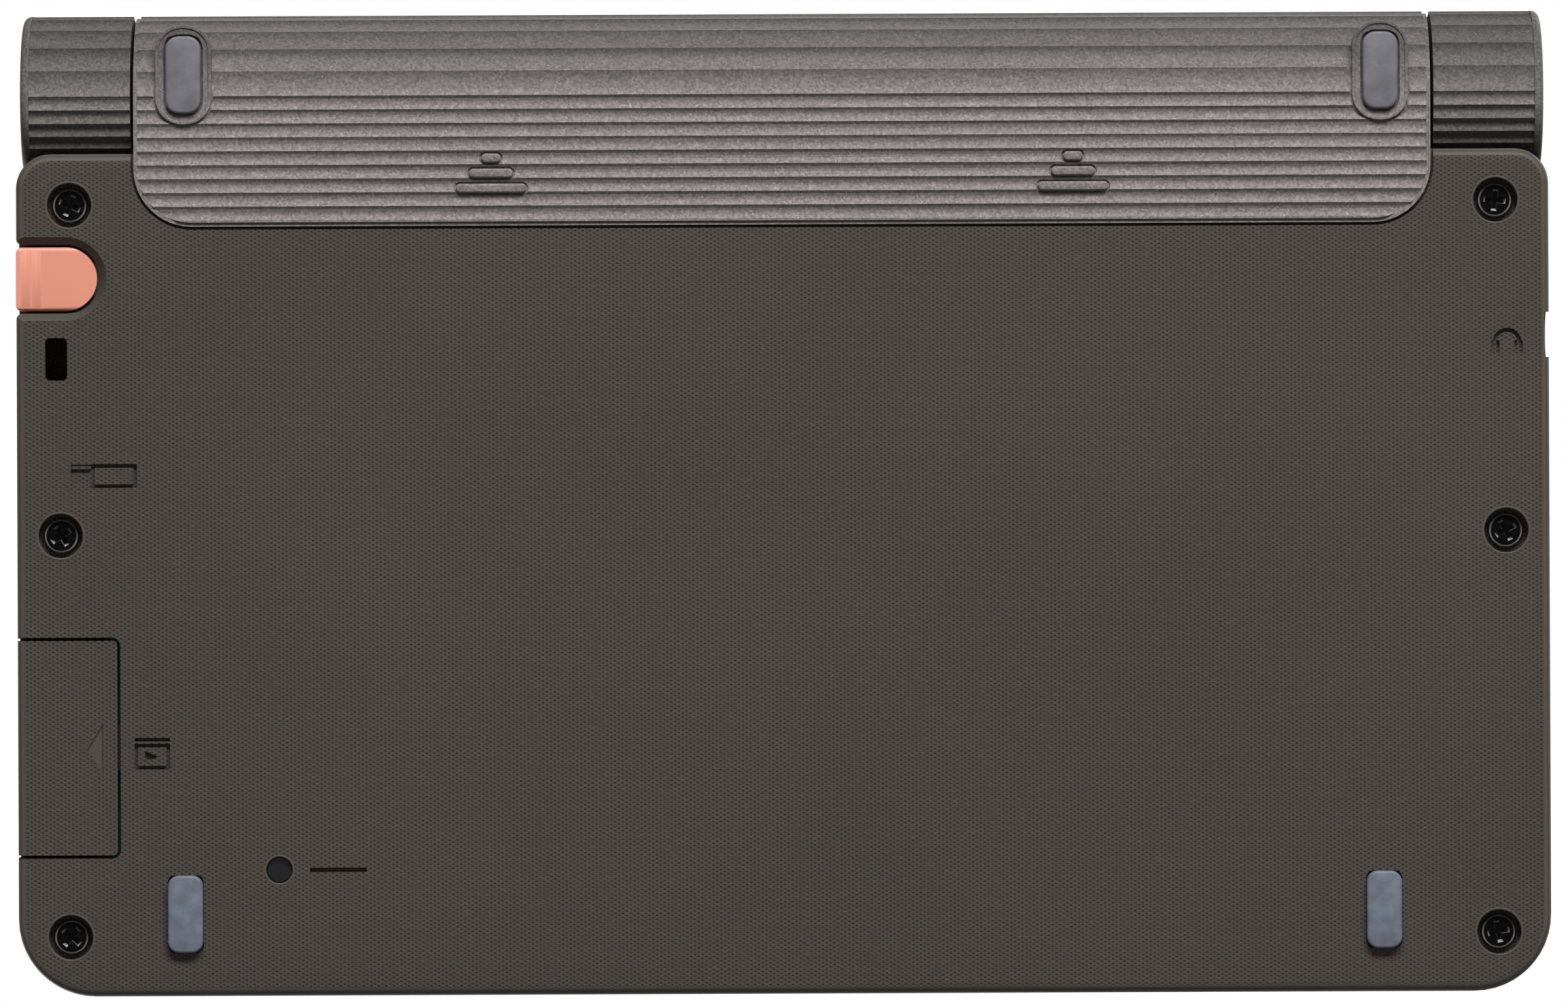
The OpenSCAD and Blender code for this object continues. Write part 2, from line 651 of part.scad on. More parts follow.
module usb_socket() {
    color("silver") {
        difference() {
            box(half_w - usb_l, half_w - 0.6, usb_y - usb_w / 2, usb_y + usb_w / 2, usb_z0, usb_z1);
            box(half_w - usb_l + 1, half_w, usb_y - usb_w / 2 + 0.35, usb_y + usb_w / 2 - 0.35,
                usb_z0 + 0.3, usb_z1 - 0.3);
        }
        box(half_w - usb_l + 0.5, half_w - 1.5, usb_y - 2, usb_y + 2, usb_z0 + 0.9, usb_z1 - 0.9);
    }
}

module headphone_jack() {
    color([0.1, 0.1, 0.1]) difference() {
        union() {
            box(-half_w + wall + 0.1, jack_end, jack_y - 3, jack_y + 3, inner_z + slip, jack_z + 2.4);
            rod(-half_w + 0.45, -half_w + wall + 0.2, jack_y, jack_z, jack_hole_r - 0.1);
        }
        rod(-half_w - 1, -half_w + jack_len, jack_y, jack_z, jack_r);
    }
}

module speaker() {
    color([0.15, 0.15, 0.16]) {
        round_box(speaker_x - speaker_w / 2, speaker_x + speaker_w / 2, inner_rear - 5.7, inner_rear - 0.3,
            deck_z - 1.6, deck_z - slip, 2.6);
        round_box(speaker_x - speaker_w * 0.3, speaker_x + speaker_w * 0.3, inner_rear - 4.8, inner_rear - 1.2,
            deck_z - 2.4, deck_z - 1.5, 1.7);
    }
}

module reset_switch() {
    color([0.2, 0.2, 0.2]) translate([reset_at[0], reset_at[1], 0]) {
        translate([-2.6, -2.6, board_z - 1.2]) cube([5.2, 5.2, 1.2 - slip]);
        translate([0, 0, board_z - 1.5]) cylinder(h = 0.4, r = 0.9);
    }
}

module reset_plunger() {
    color([0.3, 0.3, 0.31]) translate([reset_at[0], reset_at[1], 0]) {
        translate([0, 0, floor_z + 0.5]) cylinder(h = board_z - 1.8 - floor_z - 0.5, r = 1.25);
        translate([0, 0, inner_z + 0.1]) cylinder(h = 0.4, r = 2);
    }
}

// Channel over the case floor that guides the stylus
module stylus_silo() {
    y0 = stylus_y - pen_w / 2 - silo_play;
    y1 = stylus_y + pen_w / 2 + silo_play;
    z1 = pen_z + pen_h + silo_play;
    x1 = half_w - cap_l - 1.5;
    color([0.2, 0.2, 0.2]) difference() {
        box(pen_end_x - 1.6, x1, y0 - silo_wall, y1 + silo_wall, inner_z + slip, z1 + silo_wall);
        box(pen_end_x - 0.6, x1 + 1, y0, y1, inner_z - 1, z1);
    }
}

module hinge_friction_units() {
    color([0.55, 0.55, 0.56]) both_sides() difference() {
        union() {
            rod(unit_x0, tube_mid - 1, axis_y, axis_z, 4.8);
            intersection() {
                rod(unit_x0 + 1, tube_mid - 1, axis_y, axis_z, tube_in - slip);
                box(0, half_w, axis_y - 3, axis_y + 3, axis_z, axis_z + 20);
            }
        }
        rod(unit_x0 - 1, tube_mid, axis_y, axis_z, shaft_r + shaft_play);
    }
}

// Flat cable from the board towards the hinge
module hinge_cable() {
    color([0.85, 0.6, 0.2]) {
        box(cable_x - 3, cable_x + 3, cable_y, inner_rear - slip, board_z + board_t + 0.5, board_z + board_t + 0.7);
        box(cable_x - 3, cable_x + 3, cable_y, cable_y + 2, board_z + board_t + slip, board_z + board_t + 0.6);
    }
}

module card_door() {
    color(case_col) difference() {
        union() {
            intersection() {
                base_outer(floor_z, split_z, 0);
                union() {
                    round_box(card_x0, half_w + 5, card_y0, card_y1, floor_z - 1, inner_z - 0.2, 0.5);
                    box(half_w - wall, half_w + 5, card_y0, card_y1, floor_z - 1, card_top);
                }
            }
            // Tongue that keeps the door on the case
            box(card_x0 - 2.5, card_x0 + 2, card_mid - 2.3, card_mid + 2.3, inner_z + 0.05, inner_z + 0.55);
            box(card_x0 + 1, card_x0 + 2, card_mid - 2.3, card_mid + 2.3, inner_z - 0.4, inner_z + 0.5);
        }
        // Arrow that points to the way the door opens
        translate([0, 0, floor_z - 1]) linear_extrude(1 + mark_d)
            polygon([[card_x0 + 1.5, card_mid - 2.8], [card_x0 + 1.5, card_mid + 2.4],
                [card_x0 + 3.1, card_mid - 0.2]]);
    }
}

module stylus_barrel() {
    color([0.2, 0.2, 0.21]) round_x(pen_end_x + 4, half_w - cap_l + cap_w / 2, pen_w, pen_h);
}

// A bar along X with rounded long edges, on the stylus line
module round_x(x0, x1, w, h) {
    r = h * 0.3;
    along_x(x0, x1) translate([stylus_y, pen_z]) round_rect(-w / 2, w / 2, 0, h, r);
}

module stylus_cap() {
    r = cap_w / 2;
    x0 = half_w - cap_l + r;
    color(coral_col) difference() {
        intersection() {
            union() {
                translate([x0, stylus_y, cap_z]) cylinder(h = cap_h, r = r);
                round_box(x0, half_w, stylus_y - r, stylus_y + r, cap_z, cap_z + cap_h, 0.6);
                box(x0, x0 + 2, stylus_y - r, stylus_y + r, cap_z, cap_z + cap_h);
            }
            along_x(0, half_w) round_rect(stylus_y - r, stylus_y + r, cap_z, cap_z + cap_h, 0.5);
        }
        // Socket for the stylus barrel
        round_x(0, x0 + slip, pen_w + 0.02, pen_h + 0.02);
    }
}

module stylus_tip() {
    color([0.9, 0.9, 0.88]) translate([pen_end_x, stylus_y, pen_z + pen_h / 2]) rotate([0, 90, 0])
        cylinder(h = 4 - slip, r1 = 0.45, r2 = pen_h / 2 - 0.1);
}

island_w = foot_w + 2.15;
island_l = foot_l + 2.3;
rear_foot_y = axis_y + rear_foot_back;

module battery_cover() {
    color(paint_col) difference() {
        union() {
            difference() {
                intersection() {
                    along_x(-tube_mid, tube_mid) cover_section();
                    cover_plan(0, cover_z - 1, axis_z + tube_r);
                }
                intersection() {
                    along_x(-tube_mid + cover_rim, tube_mid - cover_rim) polygon(cover_cutter);
                    cover_plan(-cover_rim, cover_z - 3, axis_z + tube_r);
                }
                difference() {
                    along_x(-tube_mid - 1, tube_mid + 1) ledge_section();
                    cover_plan(-cover_rim, cover_z - 3, axis_z + 2 * tube_r);
                }
            }
            // Flat islands that carry the rear feet
            both_sides() difference() {
                round_box(rear_foot_x - island_w / 2, rear_foot_x + island_w / 2,
                    rear_foot_y - island_l / 2, rear_foot_y + island_l / 2, cover_z, axis_z - 3, island_w * 0.47);
                rod(0, half_w, axis_y, axis_z, cover_in);
                box(0, half_w, 0, axis_y, cover_z + cover_t, axis_z);
            }
            // Push marks: bars that shrink towards the hinge
            for (x = [-push_x, push_x], b = [0 : 2])
                round_box(x - push_w[b] / 2, x + push_w[b] / 2, cover_front + 3.4 + b * 1.56,
                    cover_front + 4.3 + b * 1.56, cover_z - 0.18, cover_z + 0.5, 0.4);
            // Hooks that slide under the ledge
            for (x = hooks_x) {
                box(x - hook_w / 2, x + hook_w / 2, hook_y, hook_y + 1, cover_z + cover_t - EPS, hook_z1);
                box(x - hook_w / 2, x + hook_w / 2, hook_y - 1.2, hook_y + 0.5, hook_z0, hook_z1);
            }
        }
        both_sides() foot_pad(rear_foot_x, rear_foot_y, foot_w + 0.1, foot_l + 0.1, cover_z - 1, cover_z + foot_sink);
    }
}
push_x = 30.1;
push_w = [7.25, 4.5, 2.0];

module rear_feet() {
    color(foot_col) both_sides() foot_pad(rear_foot_x, rear_foot_y, foot_w, foot_l, 0, cover_z + foot_sink);
}

lid_rear_y = axis_y - sqrt(pow(tube_r, 2) - pow(lid_top - axis_z - lid_edge_r, 2)) + 0.6;
bezel_t = 1.4;
window_z = lid_z + 0.25;

module lid_shell() {
    color(paint_col) difference() {
        slab(half_w, front_y, lid_rear_y, lid_z + bezel_t, lid_top, front_r, 0.8, 0, lid_edge_r);
        slab(half_w - wall, front_y + wall, axis_y - 11.2, lid_z, lid_top - 1.1, front_r - wall, 2, 0, 0.6);
        rod(-tube_mid - barrel_gap + 0.05, tube_mid + barrel_gap - 0.05, axis_y, axis_z, swing_r);
        both_sides() rod(tube_mid, half_w + 5, axis_y, axis_z, tube_r + slip);
        lid_side_cut();
    }
}

// The hinge barrels end just inside the lid's sides
module lid_side_cut() {
    both_sides() box(barrel_end + 0.1, half_w + 5, axis_y - 8, axis_y + 5, 0, lid_top + 1);
}

module lid_bezel() {
    color(case_col) difference() {
        slab(half_w, front_y, axis_y - 8.5, lid_z, lid_z + bezel_t - seam, front_r, 0.5, 0.3, 0);
        round_box(-window_w / 2, window_w / 2, window_y - window_d / 2, window_y + window_d / 2,
            lid_z - 1, lid_z + 2 * bezel_t, 1);
        rod(-tube_mid - barrel_gap + 0.05, tube_mid + barrel_gap - 0.05, axis_y, axis_z, swing_r);
        both_sides() rod(tube_mid, half_w + 5, axis_y, axis_z, tube_r + slip);
        for (p = bumpers) translate([p[0], p[1], lid_z - 1]) cylinder(h = 1.5, r = 1.25);
        lid_side_cut();
    }
}

module touch_glass() {
    color([0.3, 0.33, 0.36]) round_box(-window_w / 2 + 0.1, window_w / 2 - 0.1, window_y - window_d / 2 + 0.1,
        window_y + window_d / 2 - 0.1, window_z, lid_z + bezel_t, 0.9);
}

module display_panel() {
    color([0.6, 0.62, 0.64]) round_box(-window_w / 2 - 3, window_w / 2 + 3, window_y - window_d / 2 - 3,
        min(window_y + window_d / 2 + 3, axis_y - 12), lid_z + bezel_t + slip, lid_top - 1.1 - slip - 0.6, 1);
}

bumper_x = half_w - 5.75;
bumpers = [for (x = [bumper_x, -bumper_x], y = [front_y + 7, axis_y - 18.25]) [x, y]];
module lid_bumpers() {
    color([0.15, 0.15, 0.15]) for (p = bumpers) translate([p[0], p[1], rim_z + slip])
        cylinder(h = lid_gap + 0.5 - 2 * slip, r = 1.22);
}

// Fluted barrel of the lid with a smooth domed cap on its outer end
module hinge_barrel() {
    flutes = concat(tube_flutes(-180, 0, fine_count, 1), tube_flutes(0, 180, wide_count, wide_share));
    length = barrel_end - barrel_x;
    color(barrel_col) difference() {
        translate([barrel_x, axis_y, axis_z]) rotate([0, 90, 0]) rotate_extrude() {
            square([tube_r, length - barrel_cap]);
            square([tube_r - barrel_cap, length]);
            intersection() {
                translate([tube_r - barrel_cap, length - barrel_cap]) circle(barrel_cap);
                translate([0, length - barrel_cap]) square([tube_r, barrel_cap]);
            }
        }
        along_x(barrel_x - 1, barrel_end - barrel_cap - 0.1) difference() {
            translate([axis_y, axis_z]) circle(tube_r + cutter_out);
            polygon(flutes);
        }
        rod(barrel_x - 1, tube_mid + shaft_reach + 0.5, axis_y, axis_z, shaft_r + 0.01);
    }
}

module hinge_barrel_left() {
    mirror([1, 0, 0]) hinge_barrel();
}

module hinge_barrel_right() {
    hinge_barrel();
}

module hinge_shafts() {
    color("silver") both_sides() rod(unit_x0 + 1.5, tube_mid + shaft_reach, axis_y, axis_z, shaft_r);
}

module display_cable() {
    color([0.85, 0.6, 0.2]) box(half_w - 29.25, half_w - 21.25, window_y + window_d / 2 - 4, axis_y - 12, lid_top - 1.1 - 0.6, lid_top - 1.1 - 0.4);
}

// A key: cap through the deck, with a lip under it
module key_at(k) {
    travel_room = 0.12;
    color([0.86, 0.86, 0.85]) translate([k[1], k[2], 0]) {
        round_box(-k[3] / 2, k[3] / 2, -k[4] / 2, k[4] / 2, deck_z - 0.3, key_top - 0.3, 1);
        round_box(-k[3] / 2 + 0.25, k[3] / 2 - 0.25, -k[4] / 2 + 0.25, k[4] / 2 - 0.25, key_top - 0.4, key_top, 0.9);
        round_box(-k[3] / 2 - key_lip, k[3] / 2 + key_lip, -k[4] / 2 - key_lip, k[4] / 2 + key_lip,
            deck_z - 0.6 - travel_room, deck_z - travel_room, 1.2);
    }
}

bottom_case();
keyboard_deck();
main_board();
key_dome_sheet();
battery_cells();
battery_contact_minus();
battery_contact_plus();
case_screws();
board_screws();
front_feet();
card_socket();
usb_socket();
headphone_jack();
speaker();
reset_switch();
stylus_silo();
hinge_friction_units();
hinge_cable();
reset_plunger();
card_door();
stylus_barrel();
stylus_cap();
stylus_tip();
battery_cover();
rear_feet();
lid_shell();
lid_bezel();
display_panel();
touch_glass();
lid_bumpers();
hinge_barrel_left();
hinge_barrel_right();
hinge_shafts();
display_cable();
key_at(key_spec("power_key"));  // power_key
key_at(key_spec("function_key_1"));  // function_key_1
key_at(key_spec("function_key_2"));  // function_key_2
key_at(key_spec("function_key_3"));  // function_key_3
key_at(key_spec("function_key_4"));  // function_key_4
key_at(key_spec("function_key_5"));  // function_key_5
key_at(key_spec("function_key_6"));  // function_key_6
key_at(key_spec("arrow_up_key"));  // arrow_up_key
key_at(key_spec("arrow_down_key"));  // arrow_down_key
key_at(key_spec("arrow_left_key"));  // arrow_left_key
key_at(key_spec("arrow_right_key"));  // arrow_right_key
key_at(key_spec("enter_key"));  // enter_key
key_at(key_spec("back_key"));  // back_key
key_at(key_spec("page_up_key"));  // page_up_key
key_at(key_spec("page_down_key"));  // page_down_key
key_at(key_spec("shift_key"));  // shift_key
key_at(key_spec("delete_key"));  // delete_key
key_at(key_spec("sound_key"));  // sound_key
key_at(key_spec("jump_key"));  // jump_key
for (k = TOP_ROW) key_at(k);  // letter_row_top
for (k = MIDDLE_ROW) key_at(k);  // letter_row_middle
for (k = BOTTOM_ROW) key_at(k);  // letter_row_bottom
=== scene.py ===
# %% [markdown]
# # A pocket dictionary, seen from below
#
# The object is a closed clamshell dictionary that stands on four rubber feet. The photograph looks
# straight at its underside, so the camera sits under the table and looks up. The solid pieces come
# from the frame at their real size, in metres. This lesson gives each of them its finish, models
# the small pieces that carry the look, and lights the scene like a product photograph.

# %% Load the frame
import json
import math

import bmesh
import bpy
from mathutils import Matrix, Vector


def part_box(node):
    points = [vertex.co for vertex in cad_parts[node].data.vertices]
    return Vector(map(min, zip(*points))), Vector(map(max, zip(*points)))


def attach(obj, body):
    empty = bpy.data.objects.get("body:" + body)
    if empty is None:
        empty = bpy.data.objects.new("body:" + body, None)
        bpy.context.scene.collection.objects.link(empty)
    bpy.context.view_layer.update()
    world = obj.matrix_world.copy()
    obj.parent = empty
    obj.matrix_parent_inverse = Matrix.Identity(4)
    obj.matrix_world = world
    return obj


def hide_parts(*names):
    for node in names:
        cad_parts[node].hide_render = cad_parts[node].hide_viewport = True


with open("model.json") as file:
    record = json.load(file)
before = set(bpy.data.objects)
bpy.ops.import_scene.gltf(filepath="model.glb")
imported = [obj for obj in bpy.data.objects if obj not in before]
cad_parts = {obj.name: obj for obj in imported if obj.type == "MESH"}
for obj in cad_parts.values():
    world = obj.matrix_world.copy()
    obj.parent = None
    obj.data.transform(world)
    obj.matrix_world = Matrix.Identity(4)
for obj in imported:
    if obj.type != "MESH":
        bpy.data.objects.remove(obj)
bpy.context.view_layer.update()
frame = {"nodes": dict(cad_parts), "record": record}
nodes = frame["nodes"]
MM = 0.001
print("pieces in the frame:", len(nodes))

# %% [markdown]
# The photograph is 2398 by 1540 pixels and shows about 14.78 pixels for each millimetre of the
# case's underside. A long lens keeps the perspective weak: from 1.1 m away, the lens has to show a
# strip as wide as the image. The camera looks up along +Z, so +X of the object points to the left
# of the picture and the hinge is at the top.

# %% Camera
PHOTO_WIDTH = 2398
PHOTO_HEIGHT = 1540
PIXELS_PER_MM = 14.78
CASE_CENTRE_PIXEL = (1198, 768)
CAMERA_DISTANCE = 1.1
ROLL = math.radians(0.24)

view_width = PHOTO_WIDTH / PIXELS_PER_MM * MM
camera_data = bpy.data.cameras.new("camera")
camera_data.sensor_width = 36
camera_data.lens = camera_data.sensor_width * CAMERA_DISTANCE / view_width
camera_data.clip_end = 20
camera = bpy.data.objects.new("camera", camera_data)
bpy.context.scene.collection.objects.link(camera)
aim_x = (CASE_CENTRE_PIXEL[0] - PHOTO_WIDTH / 2) / PIXELS_PER_MM * MM
aim_y = (PHOTO_HEIGHT / 2 - CASE_CENTRE_PIXEL[1]) / PIXELS_PER_MM * -MM
camera.location = (aim_x, aim_y, MM - CAMERA_DISTANCE)
camera.rotation_euler = (0, math.pi, ROLL)
bpy.context.scene.camera = camera
print("lens in mm:", round(camera_data.lens, 1))

# %% [markdown]
# The backdrop is pure white in the photograph, which is a matter of what the camera sees, not of
# more light on the object. The world therefore shows white to the camera and in reflections, and
# gives a softer grey light to everything else. The floor is pale and catches the shadow for
# cameras above it. From below its back is clear, and it doesn't block the light, so the underside
# is lit as if the dictionary lay on a sheet of glass. It lies a hair under the feet, because two
# surfaces in one plane would flicker.

# %% World and floor
AMBIENT = 0.08
FLOOR_CLEARANCE = 0.05 * MM


def new_material(name):
    material = bpy.data.materials.new(name)
    material.use_nodes = True
    tree = material.node_tree
    tree.nodes.clear()
    return material, tree


world = bpy.data.worlds.new("studio")
bpy.context.scene.world = world
world.use_nodes = True
sky = world.node_tree
sky.nodes.clear()
rays = sky.nodes.new("ShaderNodeLightPath")
white = sky.nodes.new("ShaderNodeBackground")
white.inputs["Color"].default_value = (1, 1, 1, 1)
grey = sky.nodes.new("ShaderNodeBackground")
grey.inputs["Color"].default_value = (1, 1, 1, 1)
grey.inputs["Strength"].default_value = AMBIENT
seen = rays.outputs["Is Camera Ray"]
for ray in ("Is Glossy Ray", "Is Transmission Ray"):
    either = sky.nodes.new("ShaderNodeMath")
    either.operation = "MAXIMUM"
    sky.links.new(seen, either.inputs[0])
    sky.links.new(rays.outputs[ray], either.inputs[1])
    seen = either.outputs[0]
blend = sky.nodes.new("ShaderNodeMixShader")
out = sky.nodes.new("ShaderNodeOutputWorld")
sky.links.new(seen, blend.inputs[0])
sky.links.new(grey.outputs[0], blend.inputs[1])
sky.links.new(white.outputs[0], blend.inputs[2])
sky.links.new(blend.outputs[0], out.inputs[0])
bpy.context.scene.view_settings.view_transform = "Standard"

floor_mesh = bmesh.new()
bmesh.ops.create_grid(floor_mesh, x_segments=1, y_segments=1, size=1.5)
bmesh.ops.translate(floor_mesh, verts=floor_mesh.verts[:], vec=(0, 0, -FLOOR_CLEARANCE))
floor_data = bpy.data.meshes.new("floor")
floor_mesh.to_mesh(floor_data)
floor_mesh.free()
floor = bpy.data.objects.new("floor", floor_data)
bpy.context.scene.collection.objects.link(floor)
floor_material, tree = new_material("pale_floor")
geometry = tree.nodes.new("ShaderNodeNewGeometry")
pale = tree.nodes.new("ShaderNodeBsdfDiffuse")
pale.inputs["Color"].default_value = (0.8, 0.8, 0.79, 1)
clear = tree.nodes.new("ShaderNodeBsdfTransparent")
side = tree.nodes.new("ShaderNodeMixShader")
out = tree.nodes.new("ShaderNodeOutputMaterial")
tree.links.new(geometry.outputs["Backfacing"], side.inputs[0])
tree.links.new(pale.outputs[0], side.inputs[1])
tree.links.new(clear.outputs[0], side.inputs[2])
tree.links.new(side.outputs[0], out.inputs[0])
floor_data.materials.append(floor_material)
floor.visible_shadow = False
floor.visible_diffuse = False
floor.visible_glossy = False
floor.visible_transmission = False

# %% [markdown]
# The photograph's light is large and soft and comes from the hinge's side: each flute of the cover
# is dark just below a crest and bright above the next, and every screw well is lit on its lower
# wall. A large lamp below the hinge side does that; on the rear of the tube at the hinge a painted
# shade in the flutes adds to it. A weak fill comes from the other side, and two more lamps stand
# above for the views of the lid.

# %% Lamps
def soft_lamp(name, place, aim, size, power):
    data = bpy.data.lights.new(name, "AREA")
    data.shape = "RECTANGLE"
    data.size = size[0]
    data.size_y = size[1]
    data.energy = power
    lamp = bpy.data.objects.new(name, data)
    lamp.location = place
    lamp.rotation_euler = (Vector(aim) - Vector(place)).to_track_quat("-Z", "Y").to_euler()
    lamp.visible_camera = False
    bpy.context.scene.collection.objects.link(lamp)


soft_lamp("key_below", (-0.16, 0.93, -0.76), (0, 0, 0), (0.9, 0.3), 21.0)
soft_lamp("fill_below", (-0.1, -0.3, -1.0), (0, 0, 0), (0.9, 0.5), 0.3)
soft_lamp("key_above", (0.5, -0.5, 0.9), (0, 0, 0), (0.6, 0.6), 10.0)
soft_lamp("fill_above", (-0.7, 0.4, 0.7), (0, 0, 0), (0.6, 0.6), 6.0)

# %% [markdown]
# ## Shared effects
#
# Three effects turn up in several finishes: the fine pits moulded into the case, the flakes in the
# metallic paint, and the slow unevenness of any handled surface. Each is a node group, built once.
# All of them read Object coordinates, which are the frame's own metres, so a pattern keeps its real
# size and stays on its piece when the piece moves.

# %% Helpers for node groups
def new_group(name, inputs, outputs):
    group = bpy.data.node_groups.new(name, "ShaderNodeTree")
    for label, value in inputs:
        socket = group.interface.new_socket(name=label, in_out="INPUT", socket_type="NodeSocketFloat")
        socket.default_value = value
    for label, kind in outputs:
        group.interface.new_socket(name=label, in_out="OUTPUT", socket_type=kind)
    start = group.nodes.new("NodeGroupInput")
    end = group.nodes.new("NodeGroupOutput")
    return group, start, end


def maths(tree, operation, first, second=None, third=None):
    node = tree.nodes.new("ShaderNodeMath")
    node.operation = operation
    for socket, value in zip(node.inputs, (first, second, third)):
        if isinstance(value, (int, float)):
            socket.default_value = value
        elif value is not None:
            tree.links.new(value, socket)
    return node.outputs[0]


def scaled_range(tree, value, low, high, to_low=0.0, to_high=1.0):
    node = tree.nodes.new("ShaderNodeMapRange")
    tree.links.new(value, node.inputs["Value"])
    node.inputs["From Min"].default_value = low
    node.inputs["From Max"].default_value = high
    node.inputs["To Min"].default_value = to_low
    node.inputs["To Max"].default_value = to_high
    return node.outputs["Result"]


# %% [markdown]
# The case has a hexagonal grid of tiny pits, 0.45 mm apart. Three cosine waves, each turned by 60
# degrees from the last, add up to such a grid: their sum peaks where all three do. The waves run
# across whichever two axes lie in the surface, so the case's sides get round pits too. They fade out
# on rounded edges, which a second output marks for a painted highlight: a lighter line on the
# rounded edges, kept off the edges that face the front, away from the lamp.

# %% Pits
def make_pits():
    group, start, end = new_group(
        "moulded_pits", [("Pitch", 0.00045)],
        [("Pit", "NodeSocketFloat"), ("Edge", "NodeSocketFloat")])
    coords = group.nodes.new("ShaderNodeTexCoord")
    place = group.nodes.new("ShaderNodeSeparateXYZ")
    group.links.new(coords.outputs["Object"], place.inputs[0])
    facing = group.nodes.new("ShaderNodeSeparateXYZ")
    group.links.new(coords.outputs["Normal"], facing.inputs[0])
    x, y, z = place.outputs
    on_side = maths(group, "GREATER_THAN", maths(group, "ABSOLUTE", facing.outputs[0]), 0.7)
    on_front = maths(group, "GREATER_THAN", maths(group, "ABSOLUTE", facing.outputs[1]), 0.7)
    across = maths(group, "ADD", maths(group, "MULTIPLY", x, maths(group, "SUBTRACT", 1.0, on_side)),
                   maths(group, "MULTIPLY", z, on_side))
    along = maths(group, "ADD", maths(group, "MULTIPLY", y, maths(group, "SUBTRACT", 1.0, on_front)),
                  maths(group, "MULTIPLY", z, on_front))
    turn = maths(group, "DIVIDE", 4 * math.pi / math.sqrt(3), start.outputs["Pitch"])
    waves = []
    for angle in (0, 60, 120):
        a = math.radians(angle)
        step = maths(group, "ADD", maths(group, "MULTIPLY", across, math.cos(a)),
                     maths(group, "MULTIPLY", along, math.sin(a)))
        waves.append(maths(group, "COSINE", maths(group, "MULTIPLY", step, turn)))
    total = maths(group, "ADD", maths(group, "ADD", waves[0], waves[1]), waves[2])
    steep = [maths(group, "ABSOLUTE", output) for output in facing.outputs]
    flatness = maths(group, "MAXIMUM", maths(group, "MAXIMUM", steep[0], steep[1]), steep[2])
    pit = maths(group, "MULTIPLY", scaled_range(group, total, 0.2, 2.6),
                scaled_range(group, flatness, 0.955, 0.985))
    group.links.new(pit, end.inputs["Pit"])
    # Painted highlight on rounded edges, except those that face the front, away from the lamp.
    rising = scaled_range(group, flatness, 0.74, 0.86)
    falling = scaled_range(group, flatness, 0.93, 0.985, 1.0, 0.0)
    not_facing_front = scaled_range(group, facing.outputs[1], -0.5, -0.1)
    edge = maths(group, "MULTIPLY", maths(group, "MULTIPLY", rising, falling), not_facing_front)
    group.links.new(edge, end.inputs["Edge"])
    return group


pits = make_pits()


# %% [markdown]
# Metallic paint holds flakes of about a tenth of a millimetre. Each flake tilts its own way, so
# under soft light some are bright and most are dull. That is painted into the colour: a cell
# pattern gives every flake one random value, which moves the colour, and the brightest few get a
# painted glint.

# %% Flakes
def make_flakes():
    group, start, end = new_group(
        "paint_flakes", [("Size", 0.00022)],
        [("Flake", "NodeSocketFloat"), ("Spark", "NodeSocketFloat")])
    coords = group.nodes.new("ShaderNodeTexCoord")
    cells = group.nodes.new("ShaderNodeTexVoronoi")
    group.links.new(coords.outputs["Object"], cells.inputs["Vector"])
    group.links.new(maths(group, "DIVIDE", 1.0, start.outputs["Size"]), cells.inputs["Scale"])
    value = group.nodes.new("ShaderNodeSeparateColor")
    group.links.new(cells.outputs["Color"], value.inputs[0])
    group.links.new(value.outputs[0], end.inputs["Flake"])
    spark = maths(group, "POWER", value.outputs[1], 7.0)
    group.links.new(spark, end.inputs["Spark"])
    return group


flakes = make_flakes()


# %% [markdown]
# Handling leaves a surface slightly uneven: broad soft patches where skin has polished it, and fine
# grain from the mould. One group gives both, as values around one half.

# %% Handling
def make_handling():
    group, start, end = new_group(
        "handling", [("Patch", 0.03), ("Grain", 0.0004)],
        [("Patches", "NodeSocketFloat"), ("Grains", "NodeSocketFloat")])
    coords = group.nodes.new("ShaderNodeTexCoord")
    for label, size, detail in (("Patches", "Patch", 3), ("Grains", "Grain", 2)):
        noise = group.nodes.new("ShaderNodeTexNoise")
        noise.inputs["Detail"].default_value = detail
        group.links.new(coords.outputs["Object"], noise.inputs["Vector"])
        group.links.new(maths(group, "DIVIDE", 1.0, start.outputs[size]), noise.inputs["Scale"])
        group.links.new(noise.outputs[0], end.inputs[label])
    return group


handling = make_handling()

# %% [markdown]
# ## Finishes
#
# Every finish below starts from one recipe: a base colour that drifts a little in patches, a
# roughness that varies with the grain, and a bump. Each adds what is its own. Colours are given as
# they look in the photograph, and turned into the linear values that a shader needs.

# %% Finish recipe
def linear(colour):
    steps = [c / 255 for c in colour]
    return [s / 12.92 if s <= 0.04045 else ((s + 0.055) / 1.055) ** 2.4 for s in steps]


def place_group(tree, group, **values):
    node = tree.nodes.new("ShaderNodeGroup")
    node.node_tree = group
    for name, value in values.items():
        node.inputs[name].default_value = value
    return node


def mix_colour(tree, factor, first, second, blend="MIX"):
    node = tree.nodes.new("ShaderNodeMix")
    node.data_type = "RGBA"
    node.blend_type = blend
    for socket, value in ((node.inputs["Factor"], factor), (node.inputs["A"], first), (node.inputs["B"], second)):
        if isinstance(value, (int, float)):
            socket.default_value = value
        elif isinstance(value, (list, tuple)):
            socket.default_value = (*value[:3], 1)
        else:
            tree.links.new(value, socket)
    return node.outputs["Result"]


